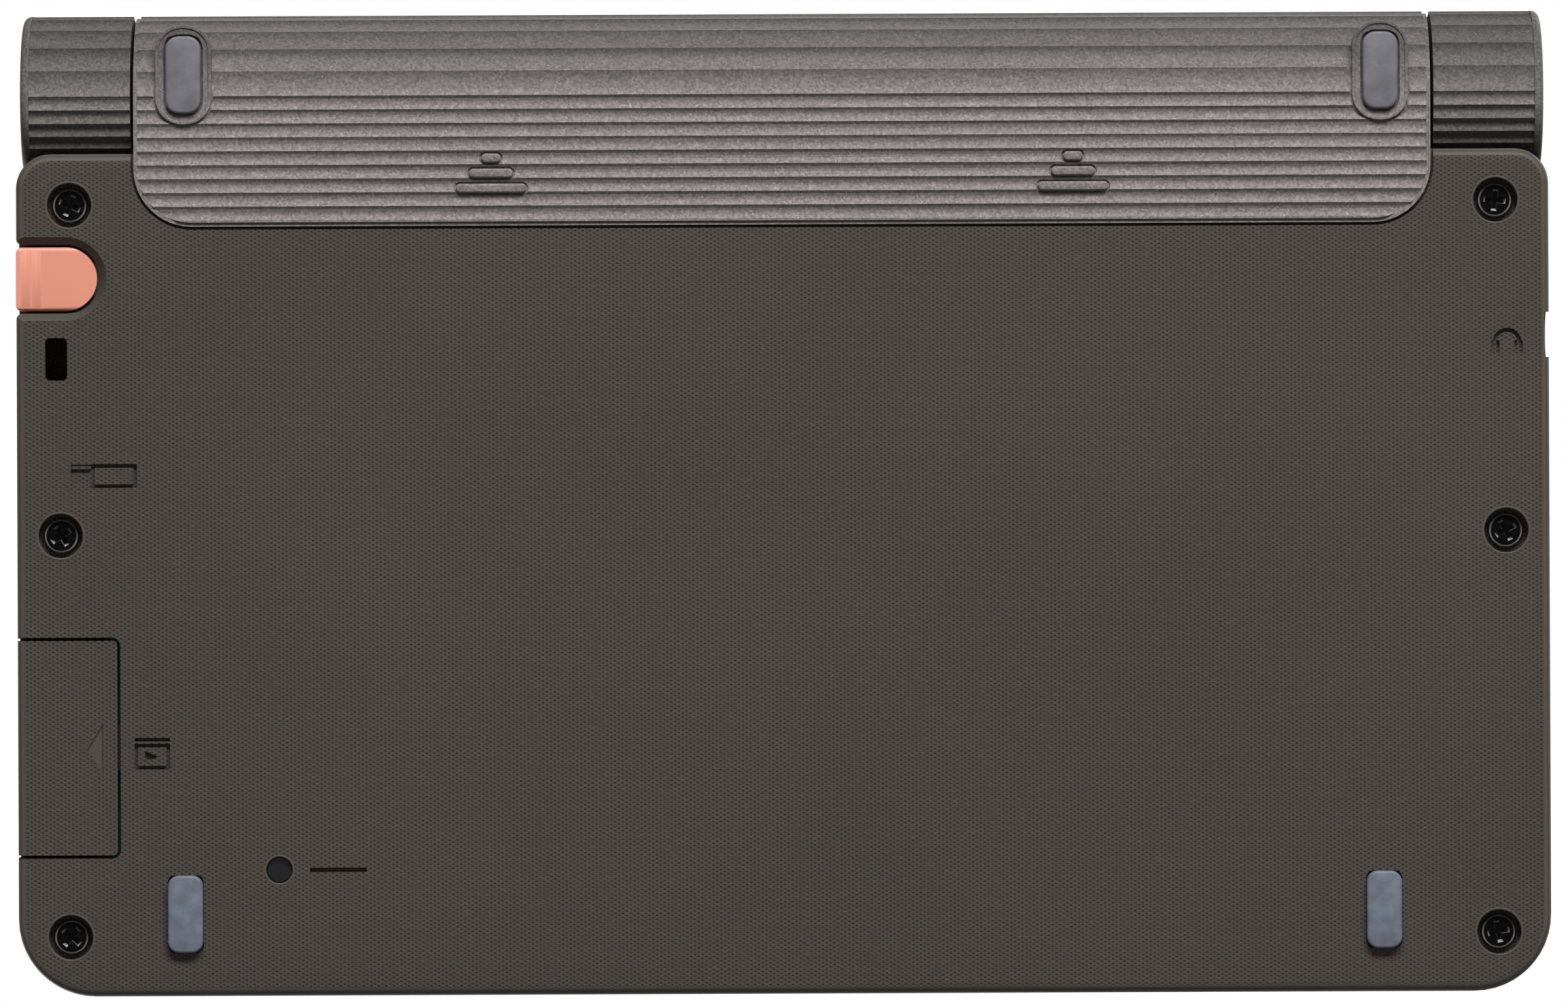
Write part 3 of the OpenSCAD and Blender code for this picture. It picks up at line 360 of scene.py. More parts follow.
def finish(name, colour, rough, patch=0.08, patch_size=0.03, grain=0.05, grain_size=0.0004, bump=0.02, **fixed):
    """A Principled finish whose colour and roughness vary; returns its parts for further work."""
    material, tree = new_material(name)
    shader = tree.nodes.new("ShaderNodeBsdfPrincipled")
    out = tree.nodes.new("ShaderNodeOutputMaterial")
    tree.links.new(shader.outputs[0], out.inputs[0])
    wear = place_group(tree, handling, Patch=patch_size, Grain=grain_size)
    base = linear(colour)
    dull = [c * (1 - patch) for c in base]
    bright = [c * (1 + patch) for c in base]
    patches = scaled_range(tree, wear.outputs["Patches"], 0.3, 0.7)
    colour_out = mix_colour(tree, patches, dull, bright)
    tree.links.new(colour_out, shader.inputs["Base Color"])
    tree.links.new(
        scaled_range(tree, wear.outputs["Grains"], 0.3, 0.7, rough - grain, rough + grain),
        shader.inputs["Roughness"])
    relief = tree.nodes.new("ShaderNodeBump")
    relief.inputs["Strength"].default_value = 1.0
    relief.inputs["Distance"].default_value = bump * MM
    tree.links.new(wear.outputs["Grains"], relief.inputs["Height"])
    tree.links.new(relief.outputs[0], shader.inputs["Normal"])
    for socket, value in fixed.items():
        shader.inputs[socket.replace("_", " ")].default_value = value
    return {"material": material, "tree": tree, "shader": shader, "wear": wear,
            "colour": colour_out, "relief": relief}


# %% Case plastic: pits darken the colour and dent the surface, edges get a painted highlight
PIT_DEPTH = 0.06
# How far the painted highlight lightens the rounded edges.
EDGE_HIGHLIGHT = 0.42


def pitted(name, colour, rough):
    made = finish(name, colour, rough, patch=0.07, grain_size=0.00018, Specular_IOR_Level=0.16)
    tree = made["tree"]
    holes = place_group(tree, pits)
    darker = mix_colour(tree, scaled_range(tree, holes.outputs["Pit"], 0, 1, 0, 0.62),
                        made["colour"], [c * 0.25 for c in linear(colour)])
    # Painted glints: bright specks on the grain.
    specks = scaled_range(tree, made["wear"].outputs["Grains"], 0.6, 0.78, 0, 0.5)
    grain_glints = mix_colour(tree, specks, darker, [c * 2.6 for c in linear(colour)])
    # Painted highlight: rounded edges turned lighter.
    painted_highlight = maths(tree, "MULTIPLY", holes.outputs["Edge"], EDGE_HIGHLIGHT)
    tree.links.new(mix_colour(tree, painted_highlight, grain_glints, [c * 2.2 for c in linear(colour)]),
                   made["shader"].inputs["Base Color"])
    depth = tree.nodes.new("ShaderNodeBump")
    depth.invert = True
    depth.inputs["Distance"].default_value = PIT_DEPTH * MM
    tree.links.new(holes.outputs["Pit"], depth.inputs["Height"])
    tree.links.new(made["relief"].outputs[0], depth.inputs["Normal"])
    tree.links.new(depth.outputs[0], made["shader"].inputs["Normal"])
    return made["material"]


case_plastic = pitted("case_plastic", (71, 66, 61), 0.6)


# %% [markdown]
# Metallic paint is brightest where it faces the eye and darkens where the form curves away. That
# shade is painted into the colour here: the tube at the hinge is darker behind its axis than in
# front, by a slow darkening across the tube, read from the place on the object, that gives it depth
# under a soft lamp. A painted shade also lies on the rear wall of each flute, just below the crest.
# The angle round the tube's axis says where in its flute a point lies, so the dark lines follow the
# solid's own flutes. The barrels also get a painted shadow towards the front, where they dip behind
# the case's step.

# %% Metallic paint: flakes shift the colour, sparks stand out, shade is painted on the tubes
# Painted shade behind the tube's axis: the colour darkens over this length.
BACK_SHADE_LENGTH = 4.5 * MM
# Painted shadow on the barrels towards the front, where they dip behind the case's step.
FRONT_SHADOW_START = 1.5 * MM
FRONT_SHADOW_LENGTH = 6.0 * MM
# Painted shade on the rear wall of each flute: how far the colour darkens there.
FLUTE_SHADE = 0.42
COVER_FLUTE_PITCH = 103 / 6
BARREL_FLUTE_PITCH = 180 / 10
tube_axis = frame["record"]["behaviour"]["joints"][0]["pos_m"]
tube_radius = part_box("hinge_barrel_left")[1][1] - tube_axis[1]


def flute_painted_shade(tree, place, facing, pitch):
    """Painted shade, from 0 to 1 across each flute of the tube's rear half, darkest beside the rear crest."""
    back = maths(tree, "SUBTRACT", place.outputs[1], tube_axis[1])
    down = maths(tree, "SUBTRACT", tube_axis[2], place.outputs[2])
    angle = maths(tree, "ARCTAN2", back, down)
    share = maths(tree, "FRACT", maths(tree, "DIVIDE", angle, math.radians(pitch)))
    reach = maths(tree, "SQRT", maths(tree, "ADD", maths(tree, "MULTIPLY", back, back),
                                      maths(tree, "MULTIPLY", down, down)))
    grooved = maths(tree, "MULTIPLY", maths(tree, "LESS_THAN", reach, tube_radius - 0.015 * MM),
                    maths(tree, "LESS_THAN", maths(tree, "ABSOLUTE", facing.outputs[0]), 0.3))
    rear = scaled_range(tree, angle, math.radians(4), math.radians(30))
    dark = maths(tree, "POWER", share, 3.0)
    return maths(tree, "MULTIPLY", maths(tree, "MULTIPLY", dark, rear), grooved)


def metallic(name, colour, rough, back_shade, flute_pitch, front_shadow=1.0):
    made = finish(name, colour, rough, patch=0.05, grain_size=0.0003, bump=0.02, Specular_IOR_Level=0.1)
    tree = made["tree"]
    specks = place_group(tree, flakes)
    base = linear(colour)
    # Painted light on the flakes: each flake's colour shifts by its random value, and the brightest few get a
    # painted glint.
    tinted = mix_colour(tree, scaled_range(tree, specks.outputs["Flake"], 0, 1, 0, 1),
                        [c * 0.74 for c in base], [c * 1.26 for c in base])
    sparkling = mix_colour(tree, maths(tree, "MULTIPLY", specks.outputs["Spark"], 0.5), tinted,
                           [min(1.0, c * 2.0) for c in base])
    coords = tree.nodes.new("ShaderNodeTexCoord")
    place = tree.nodes.new("ShaderNodeSeparateXYZ")
    tree.links.new(coords.outputs["Object"], place.inputs[0])
    facing = tree.nodes.new("ShaderNodeSeparateXYZ")
    tree.links.new(coords.outputs["Normal"], facing.inputs[0])
    # Painted shade: the colour darkens behind the tube's axis.
    behind = scaled_range(tree, place.outputs[1], tube_axis[1], tube_axis[1] + BACK_SHADE_LENGTH)
    with_painted_shade = mix_colour(tree, behind, sparkling, [back_shade] * 3, "MULTIPLY")
    # Painted shadow: the colour darkens ahead of the axis, towards the case's step.
    ahead = scaled_range(tree, place.outputs[1], tube_axis[1] - FRONT_SHADOW_START,
                         tube_axis[1] - FRONT_SHADOW_START - FRONT_SHADOW_LENGTH)
    with_painted_shade = mix_colour(tree, ahead, with_painted_shade, [front_shadow] * 3, "MULTIPLY")
    # The painted shade in the flutes is multiplied into the colour.
    tree.links.new(mix_colour(tree, flute_painted_shade(tree, place, facing, flute_pitch), with_painted_shade, [FLUTE_SHADE] * 3, "MULTIPLY"),
                   made["shader"].inputs["Base Color"])
    return made["material"]


# After the roughness: how dark the painted shade behind the axis gets, the flute pitch, and for the barrels how
# dark the painted shadow at the front gets.
satin_paint = metallic("satin_paint", (123, 118, 117), 0.5, 0.58, COVER_FLUTE_PITCH)
barrel_paint = metallic("barrel_paint", (107, 103, 100), 0.68, 0.62, BARREL_FLUTE_PITCH, 0.22)

# %% [markdown]
# The screws are glossy black. The lamp glints on every small slope of the head, above all round the
# cross, and those glints are painted: faces that lean get a lighter grey, a painted highlight.

# %% Glossy black screws
def glinting(name, colour, rough):
    made = finish(name, colour, rough, bump=0.002, Specular_IOR_Level=0.03)
    tree = made["tree"]
    coords = tree.nodes.new("ShaderNodeTexCoord")
    facing = tree.nodes.new("ShaderNodeSeparateXYZ")
    tree.links.new(coords.outputs["Normal"], facing.inputs[0])
    lean = maths(tree, "ABSOLUTE", facing.outputs[2])
    # Painted highlight: faces that lean get a lighter grey, standing in for the lamp's glints.
    painted_highlight = maths(tree, "MULTIPLY", scaled_range(tree, lean, 0.3, 0.5), scaled_range(tree, lean, 0.84, 0.94, 1, 0))
    tree.links.new(mix_colour(tree, painted_highlight, made["colour"], linear((150, 150, 152))),
                   made["shader"].inputs["Base Color"])
    return made["material"]


# %% Plain finishes
plastics = {
    "coral_plastic": finish("coral_plastic", (226, 148, 124), 0.42, patch=0.03, bump=0.006)["material"],
    "front_foot_rubber": finish("front_foot_rubber", (97, 103, 116), 0.55, patch=0.26, patch_size=0.0016,
                                grain=0.1, bump=0.015)["material"],
    "rear_foot_rubber": finish("rear_foot_rubber", (100, 99, 105), 0.6, patch=0.2, patch_size=0.0022,
                               grain=0.1, bump=0.015)["material"],
    "black_screw": glinting("black_screw", (8, 8, 8), 0.14),
    "black_plastic": finish("black_plastic", (34, 33, 33), 0.5)["material"],
    "grey_plastic": finish("grey_plastic", (20, 21, 25), 0.35, Specular_IOR_Level=0.15)["material"],
    "stylus_grey": finish("stylus_grey", (58, 56, 56), 0.4)["material"],
    "tip_white": finish("tip_white", (225, 224, 218), 0.4)["material"],
    "key_plastic": finish("key_plastic", (214, 212, 208), 0.38, bump=0.006)["material"],
    "black_rubber": finish("black_rubber", (30, 30, 31), 0.8, bump=0.03)["material"],
    "steel": finish("steel", (190, 189, 186), 0.3, bump=0.004, Metallic=1.0)["material"],
    "cast_metal": finish("cast_metal", (128, 128, 130), 0.55, bump=0.02, Metallic=0.9)["material"],
    "cell_can": finish("cell_can", (176, 150, 96), 0.3, bump=0.004, Metallic=0.8)["material"],
    "board": finish("board", (26, 84, 52), 0.4, bump=0.01)["material"],
    "dome_film": finish("dome_film", (206, 206, 196), 0.3, bump=0.006)["material"],
    "flex_film": finish("flex_film", (196, 122, 44), 0.3, bump=0.006)["material"],
}
plastics["case_plastic"] = case_plastic
plastics["satin_paint"] = satin_paint
plastics["barrel_paint"] = barrel_paint

# %% [markdown]
# The screen is switched off. Behind its glass lies a grey reflective panel with a fine grid of
# cells, and the maker prints a black mask on the glass round it. The mask follows the window's
# edge, so it comes from the distance to the middle of the screen in each direction.

# %% Screen
MASK_WIDTH = 3.2 * MM
CELL_PITCH = 0.25 * MM


def make_screen():
    made = finish("screen_glass", (112, 120, 116), 0.12, patch=0.03, grain=0.03, bump=0.001, Coat_Weight=1.0)
    tree = made["tree"]
    coords = tree.nodes.new("ShaderNodeTexCoord")
    place = tree.nodes.new("ShaderNodeSeparateXYZ")
    tree.links.new(coords.outputs["Object"], place.inputs[0])
    low, high = (Vector(corner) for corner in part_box("touch_glass"))
    middle = (low + high) / 2
    half = (high - low) / 2
    inside = []
    lines = []
    for axis in (0, 1):
        off = maths(tree, "SUBTRACT", place.outputs[axis], middle[axis])
        inside.append(maths(tree, "LESS_THAN", maths(tree, "ABSOLUTE", off), half[axis] - MASK_WIDTH))
        wave = maths(tree, "SINE", maths(tree, "MULTIPLY", off, 2 * math.pi / CELL_PITCH))
        lines.append(scaled_range(tree, wave, 0.6, 1.0))
    grid = maths(tree, "MULTIPLY", maths(tree, "MAXIMUM", lines[0], lines[1]), 0.35)
    panel = mix_colour(tree, grid, made["colour"], linear((70, 76, 74)))
    shown = mix_colour(tree, maths(tree, "MULTIPLY", inside[0], inside[1]), linear((12, 12, 13)), panel)
    tree.links.new(shown, made["shader"].inputs["Base Color"])
    return made["material"]


plastics["screen_glass"] = make_screen()

# %% [markdown]
# The record names one finish for each node, so the solids are dressed in a loop.

# %% Dress the solids
slot_of = {part["node"]: part["material_slot"] for part in frame["record"]["subparts"]}
for name, solid in nodes.items():
    solid.data.materials.clear()
    solid.data.materials.append(plastics[slot_of[name]])
    for face in solid.data.polygons:
        face.material_index = 0
print("finishes:", len(plastics))

# %% [markdown]
# ## Small pieces
#
# The solids carry the shapes that matter for fit. The small pieces that catch the eye are modelled
# again here with soft edges: screw heads with a cross recess, rubber feet, key caps. Each starts
# from a bmesh shape at its real size, takes its place from the box of the solid it stands for, and
# replaces that solid on the same body.

# %% Helpers for pieces
def smooth(mesh, angle):
    for face in mesh.faces:
        face.smooth = True
    limit = math.radians(angle)
    for edge in mesh.edges:
        edge.smooth = edge.calc_face_angle(0) < limit


def add_piece(name, mesh, body, slot, replaced=(), crease=35, material=None):
    bmesh.ops.recalc_face_normals(mesh, faces=mesh.faces[:])
    smooth(mesh, crease)
    data = bpy.data.meshes.new(name)
    mesh.to_mesh(data)
    mesh.free()
    piece = bpy.data.objects.new(name, data)
    bpy.context.scene.collection.objects.link(piece)
    data.materials.append(material or plastics[slot])
    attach(piece, body)
    if replaced:
        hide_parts(*replaced)
    return piece


def round_edges(mesh, edges, radius, segments=4):
    bmesh.ops.bevel(mesh, geom=edges, offset=radius, offset_type="OFFSET", affect="EDGES",
                    segments=segments, profile=0.5, clamp_overlap=True, material=-1)


def islands(name):
    """The boxes of a node's separate solids, as pairs of corners in metres."""
    copy = bmesh.new()
    copy.from_mesh(nodes[name].data)
    bmesh.ops.remove_doubles(copy, verts=copy.verts[:], dist=1e-6)
    left = set(copy.verts)
    boxes = []
    while left:
        group = [left.pop()]
        for vert in group:
            for edge in vert.link_edges:
                other = edge.other_vert(vert)
                if other in left:
                    left.discard(other)
                    group.append(other)
        places = [vert.co for vert in group]
        boxes.append((Vector([min(p[i] for p in places) for i in range(3)]),
                      Vector([max(p[i] for p in places) for i in range(3)])))
    copy.free()
    return sorted(boxes, key=lambda pair: tuple(pair[0]))


def apply_modifiers(piece):
    graph = bpy.context.evaluated_depsgraph_get()
    shaped = bpy.data.meshes.new_from_object(piece.evaluated_get(graph))
    piece.modifiers.clear()
    piece.data = shaped


# %% [markdown]
# A case screw has a low pan head with a cross recess. The head is a profile spun round the screw's
# axis, and the recess is a cross of two tapered bars cut out with a Boolean modifier. All six are
# the same, so one is modelled at the origin, facing down, and copied into each well, where each
# came to rest at its own turn.

# %% Screws
def spun(mesh, profile, steps=48):
    """Spins a profile of (radius, height) points round Z into a closed body."""
    verts = [mesh.verts.new((radius, 0, height)) for radius, height in profile]
    edges = [mesh.edges.new(pair) for pair in zip(verts, verts[1:])]
    bmesh.ops.spin(mesh, geom=verts + edges, cent=(0, 0, 0), axis=(0, 0, 1), angle=2 * math.pi,
                   steps=steps, use_merge=True)
    bmesh.ops.remove_doubles(mesh, verts=mesh.verts[:], dist=1e-7)


HEAD_RADIUS = 1.72 * MM
HEAD_DEPTH = 0.88 * MM
DOME = 0.3 * MM
RECESS_WIDTH = 0.62 * MM
RECESS_REACH = 1.28 * MM
RECESS_SOFT = 0.05 * MM
RECESS_DEPTH = 0.7 * MM
TURN_STEP = 17


def screw_head(length):
    mesh = bmesh.new()
    steps = 6
    dome = [(HEAD_RADIUS * math.sin(i / steps * math.pi / 2),
             DOME * (1 - math.cos(i / steps * math.pi / 2))) for i in range(steps + 1)]
    rim = [(HEAD_RADIUS, HEAD_DEPTH), (0.8 * MM, HEAD_DEPTH), (0.8 * MM, length), (0, length)]
    spun(mesh, dome + rim)
    return mesh


def recess_bar(turn):
    """One arm pair of the cross: a bar that narrows towards its floor."""
    mesh = bmesh.new()
    bar = bmesh.ops.create_cube(mesh, size=1)["verts"]
    for vert in bar:
        deep = vert.co.z > 0
        vert.co.x *= 2 * RECESS_REACH * (0.7 if deep else 1.0)
        vert.co.y *= RECESS_WIDTH * (0.75 if deep else 1.1)
        vert.co.z = RECESS_DEPTH if deep else -0.3 * MM
    bmesh.ops.rotate(mesh, verts=bar, cent=(0, 0, 0), matrix=Matrix.Rotation(math.radians(turn), 3, "Z"))
    return mesh


def plain_object(name, mesh):
    data = bpy.data.meshes.new(name)
    bmesh.ops.recalc_face_normals(mesh, faces=mesh.faces[:])
    mesh.to_mesh(data)
    mesh.free()
    thing = bpy.data.objects.new(name, data)
    bpy.context.scene.collection.objects.link(thing)
    return thing


places = islands("case_screws")
screw_length = places[0][1].z - places[0][0].z
master = plain_object("screw_master", screw_head(screw_length))
bars = [plain_object("recess_bar", recess_bar(turn)) for turn in (45, 135)]
for bar in bars:
    cut = master.modifiers.new("recess", "BOOLEAN")
    cut.operation = "DIFFERENCE"
    cut.solver = "EXACT"
    cut.object = bar
soften = master.modifiers.new("soften", "BEVEL")
soften.width = RECESS_SOFT
soften.segments = 2
soften.limit_method = "ANGLE"
soften.angle_limit = math.radians(50)
apply_modifiers(master)
all_screws = bmesh.new()
for count, (low, high) in enumerate(places):
    before = set(all_screws.verts)
    all_screws.from_mesh(master.data)
    fresh = [vert for vert in all_screws.verts if vert not in before]
    bmesh.ops.rotate(all_screws, verts=fresh, cent=(0, 0, 0),
                     matrix=Matrix.Rotation(math.radians(TURN_STEP * (count + 1)), 3, "Z"))
    bmesh.ops.translate(all_screws, verts=fresh, vec=((low.x + high.x) / 2, (low.y + high.y) / 2, low.z))
for helper in [master] + bars:
    bpy.data.objects.remove(helper)
screws = add_piece("cross_recess_screws", all_screws, "base", "black_screw", ["case_screws"])
print("screws:", len(places), "faces:", len(screws.data.polygons))

# %% [markdown]
# The four rubber feet are pads with rounded corners and soft edges. A box is bevelled twice: its
# upright edges for the corners, then its lower edge loop.

# %% Feet
FRONT_FOOT_CORNER = 1.15 * MM
REAR_FOOT_CORNER = 1.35 * MM
FOOT_SOFT = 0.28 * MM


def soft_pad(low, high, corner, soft):
    """A pad with rounded corners whose lower edge is soft; returns its own bmesh."""
    mesh = bmesh.new()
    bmesh.ops.create_cube(mesh, size=1)
    size = high - low
    middle = (high + low) / 2
    bmesh.ops.scale(mesh, vec=size, verts=mesh.verts[:])
    upright = [e for e in mesh.edges if abs(e.verts[0].co.z - e.verts[1].co.z) > size.z / 2]
    round_edges(mesh, upright, corner, 6)
    under = [e for e in mesh.edges if all(v.co.z < -size.z * 0.49 for v in e.verts) and len(e.link_faces) == 2
             and any(abs(f.normal.z) < 0.5 for f in e.link_faces)]
    round_edges(mesh, under, soft, 4)
    bmesh.ops.translate(mesh, verts=mesh.verts[:], vec=middle)
    return mesh


def joined(meshes):
    whole = bmesh.new()
    for mesh in meshes:
        data = bpy.data.meshes.new("part")
        mesh.to_mesh(data)
        mesh.free()
        whole.from_mesh(data)
        bpy.data.meshes.remove(data)
    return whole


for node, body, slot, corner in (("front_feet", "base", "front_foot_rubber", FRONT_FOOT_CORNER),
                                 ("rear_feet", "battery_cover", "rear_foot_rubber", REAR_FOOT_CORNER)):
    pads = [soft_pad(low, high, corner, FOOT_SOFT) for low, high in islands(node)]
    add_piece(node.replace("feet", "foot_pads"), joined(pads), body, slot, [node])
print("feet: 4")

# %% [markdown]
# Each screw sits in a counterbore, and the moulding leaves a small rounded lip round such a hole.
# The lip catches the light as a thin ring. It is a small torus sunk into the case floor, so only a
# shallow round edge stands out of it. The reset hole has the same lip.

# %% Lips round the holes
LIP = 0.16 * MM
LIP_SHOWS = 0.03 * MM


def lip_ring(centre, radius, height):
    mesh = bmesh.new()
    profile = bmesh.ops.create_circle(mesh, segments=10, radius=LIP)["verts"]
    bmesh.ops.rotate(mesh, verts=profile, cent=(0, 0, 0), matrix=Matrix.Rotation(math.pi / 2, 3, "X"))
    bmesh.ops.translate(mesh, verts=profile, vec=(radius + LIP * 0.6, 0, 0))
    bmesh.ops.spin(mesh, geom=mesh.verts[:] + mesh.edges[:], cent=(0, 0, 0), axis=(0, 0, 1),
                   angle=2 * math.pi, steps=64, use_merge=True)
    bmesh.ops.remove_doubles(mesh, verts=mesh.verts[:], dist=1e-7)
    bmesh.ops.translate(mesh, verts=mesh.verts[:], vec=(centre[0], centre[1], height))
    return mesh


floor_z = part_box("bottom_case")[0][2]
lip_height = floor_z + LIP - LIP_SHOWS
WELL_RADIUS = 2.33 * MM
RESET_RADIUS = 1.4 * MM
plunger_low, plunger_high = islands("reset_plunger")[0]
reset_centre = (plunger_low + plunger_high) / 2
lips = [lip_ring(((low.x + high.x) / 2, (low.y + high.y) / 2), WELL_RADIUS, lip_height)
        for low, high in places]
lips.append(lip_ring(reset_centre, RESET_RADIUS, lip_height))
add_piece("moulded_lips", joined(lips), "base", "case_plastic")
print("lips:", len(lips))

# %% [markdown]
# The keys show when the lid is open. A key cap is a low block with rounded corners, a soft upper
# edge and a slightly dished top that centres the finger, over a wider lip that keeps it under the
# deck. One function models it, and a loop does all 46 keys, one piece for each key's node.

# %% Keys
KEY_CORNER = 1.0 * MM
KEY_SOFT = 0.35 * MM
KEY_LIP = 0.5 * MM
KEY_LIP_HEIGHT = 0.6 * MM
KEY_DISH = 0.09 * MM


def key_cap(low, high):
    mesh = bmesh.new()
    bmesh.ops.create_cube(mesh, size=1)
    size = Vector((high.x - low.x - 2 * KEY_LIP, high.y - low.y - 2 * KEY_LIP, high.z - low.z))
    bmesh.ops.scale(mesh, vec=size, verts=mesh.verts[:])
    upright = [e for e in mesh.edges if abs(e.verts[0].co.z - e.verts[1].co.z) > size.z / 2]
    round_edges(mesh, upright, KEY_CORNER, 5)
    mesh.normal_update()
    top = max(mesh.faces, key=lambda f: f.calc_center_median().z)
    round_edges(mesh, list(top.edges), KEY_SOFT, 4)
    mesh.normal_update()
    top = max(mesh.faces, key=lambda f: f.calc_center_median().z)
    for share, sink in ((0.78, KEY_DISH * 0.5), (0.6, KEY_DISH * 0.3), (0.4, KEY_DISH * 0.2)):
        bmesh.ops.inset_region(mesh, faces=[top], thickness=0.02 * MM)
        bmesh.ops.scale(mesh, vec=(share, share, 1), verts=top.verts[:])
        bmesh.ops.translate(mesh, verts=top.verts[:], vec=(0, 0, -sink))
    bmesh.ops.translate(mesh, verts=mesh.verts[:], vec=(low + high) / 2)
    return mesh


def key_lip(low, high):
    mesh = bmesh.new()
    bmesh.ops.create_cube(mesh, size=1)
    bmesh.ops.scale(mesh, vec=(high.x - low.x, high.y - low.y, KEY_LIP_HEIGHT), verts=mesh.verts[:])
    upright = [e for e in mesh.edges if abs(e.verts[0].co.z - e.verts[1].co.z) > KEY_LIP_HEIGHT / 2]
    round_edges(mesh, upright, KEY_CORNER, 4)
    middle = (low + high) / 2
    bmesh.ops.translate(mesh, verts=mesh.verts[:], vec=(middle.x, middle.y, low.z + KEY_LIP_HEIGHT / 2))
    return mesh


key_nodes = [name for name, slot in slot_of.items() if slot == "key_plastic"]
body_of = {node: body for body, members in frame["record"]["behaviour"]["bodies"].items() for node in members}
key_count = 0
for node in key_nodes:
    caps = []
    for low, high in islands(node):
        caps += [key_cap(low, high), key_lip(low, high)]
        key_count += 1
    add_piece(node + "_cap", joined(caps), body_of[node], "key_plastic", [node])
print("keys:", key_count)

# %% [markdown]
# The four arrow keys carry a plain triangle each, and the power key a ring with a bar: signs that
# any keyboard has. They are thin inlays that stand a hair above the cap and move with their key.

# %% Key signs
SIGN_RISE = 0.03 * MM
SIGN_DEPTH = 0.25 * MM
ARROW_REACH = 1.3 * MM


def inlay(name, node, outline_mesh):
    """Gives a flat outline in the XY plane its thickness and sets it into a key's top."""
    low, high = islands(node)[0]
    bmesh.ops.recalc_face_normals(outline_mesh, faces=outline_mesh.faces[:])
    flat = outline_mesh.faces[:]
    grown = bmesh.ops.extrude_face_region(outline_mesh, geom=flat)["geom"]
    bmesh.ops.translate(outline_mesh, verts=[g for g in grown if isinstance(g, bmesh.types.BMVert)],
                        vec=(0, 0, SIGN_DEPTH))
    middle = (low + high) / 2
    bmesh.ops.translate(outline_mesh, verts=outline_mesh.verts[:],
                        vec=(middle.x, middle.y, high.z - KEY_DISH + SIGN_RISE - SIGN_DEPTH))
    add_piece(name, outline_mesh, body_of[node], "black_plastic")


for node, turn in (("arrow_up_key", 90), ("arrow_left_key", 180), ("arrow_down_key", 270), ("arrow_right_key", 0)):
    triangle = bmesh.new()
    bmesh.ops.create_circle(triangle, cap_ends=True, segments=3, radius=ARROW_REACH)
    tip = max(triangle.verts, key=lambda v: v.co.y)
    start = math.degrees(math.atan2(tip.co.y, tip.co.x))
    bmesh.ops.rotate(triangle, verts=triangle.verts[:], cent=(0, 0, 0),
                     matrix=Matrix.Rotation(math.radians(turn - start), 3, "Z"))
    inlay(node + "_sign", node, triangle)

ring = bmesh.new()
circle = bmesh.ops.create_circle(ring, cap_ends=True, segments=32, radius=1.4 * MM)["verts"]
disc = ring.faces[:]
bmesh.ops.inset_region(ring, faces=disc, thickness=0.28 * MM, use_boundary=True)
bmesh.ops.delete(ring, geom=disc, context="FACES")
inlay("power_ring_sign", "power_key", ring)
bar = bmesh.new()
bmesh.ops.create_grid(bar, x_segments=1, y_segments=1, size=0.5)
bmesh.ops.scale(bar, vec=(0.28 * MM, 1.3 * MM, 1), verts=bar.verts[:])
inlay("power_bar_sign", "power_key", bar)
print("key signs: 6")

# %% [markdown]
# ## Cover, tubes and case
#
# The solids of the cover and the case have the right form but knife-sharp details. On the real
# parts, thin shadow gaps frame the feet, the push bars and the cover's rim, and those fine dark
# lines are most of what one sees. A copy of the solid is merged into one skin, a Boolean modifier
# cuts the gaps round the feet, their islands, the push bars and the card door, and smooth shading
# rounds the flutes. The copy then stands in for the solid.

# %% Helpers for carving
LEAST_CORNER = 0.03 * MM
FLAT_ENOUGH = math.radians(0.3)


def plate(middle, size, corner, low, high, segments=8):
    """A rounded rectangle as a solid between two heights."""
    mesh = bmesh.new()
    bmesh.ops.create_grid(mesh, x_segments=1, y_segments=1, size=0.5)
    bmesh.ops.scale(mesh, vec=(size[0], size[1], 1), verts=mesh.verts[:])
    bmesh.ops.bevel(mesh, geom=mesh.verts[:], offset=corner, offset_type="OFFSET", affect="VERTICES",
                    segments=segments, profile=0.5, material=-1)
    raise_up(mesh, middle, low, high)
    return mesh


def raise_up(mesh, middle, low, high):
    grown = bmesh.ops.extrude_face_region(mesh, geom=mesh.faces[:])["geom"]
    bmesh.ops.translate(mesh, verts=[g for g in grown if isinstance(g, bmesh.types.BMVert)],
                        vec=(0, 0, high - low))
    bmesh.ops.translate(mesh, verts=mesh.verts[:], vec=(middle[0], middle[1], low))


def frame_line(middle, size, corner, width, low, high):
    """The outline of a rounded rectangle, as wide as a pen stroke, between two heights."""
    mesh = bmesh.new()
    for inward in (0, width):
        verts = bmesh.ops.create_grid(mesh, x_segments=1, y_segments=1, size=0.5)["verts"]
        bmesh.ops.scale(mesh, vec=(size[0] - 2 * inward, size[1] - 2 * inward, 1), verts=verts)
        bmesh.ops.bevel(mesh, geom=verts, offset=max(corner - inward, LEAST_CORNER), offset_type="OFFSET",
                        affect="VERTICES", segments=8, profile=0.5, material=-1)
    loops = mesh.edges[:]
    bmesh.ops.delete(mesh, geom=mesh.faces[:], context="FACES_ONLY")
    bmesh.ops.bridge_loops(mesh, edges=loops)
    bmesh.ops.recalc_face_normals(mesh, faces=mesh.faces[:])
    raise_up(mesh, middle, low, high)
    bmesh.ops.recalc_face_normals(mesh, faces=mesh.faces[:])
    return mesh


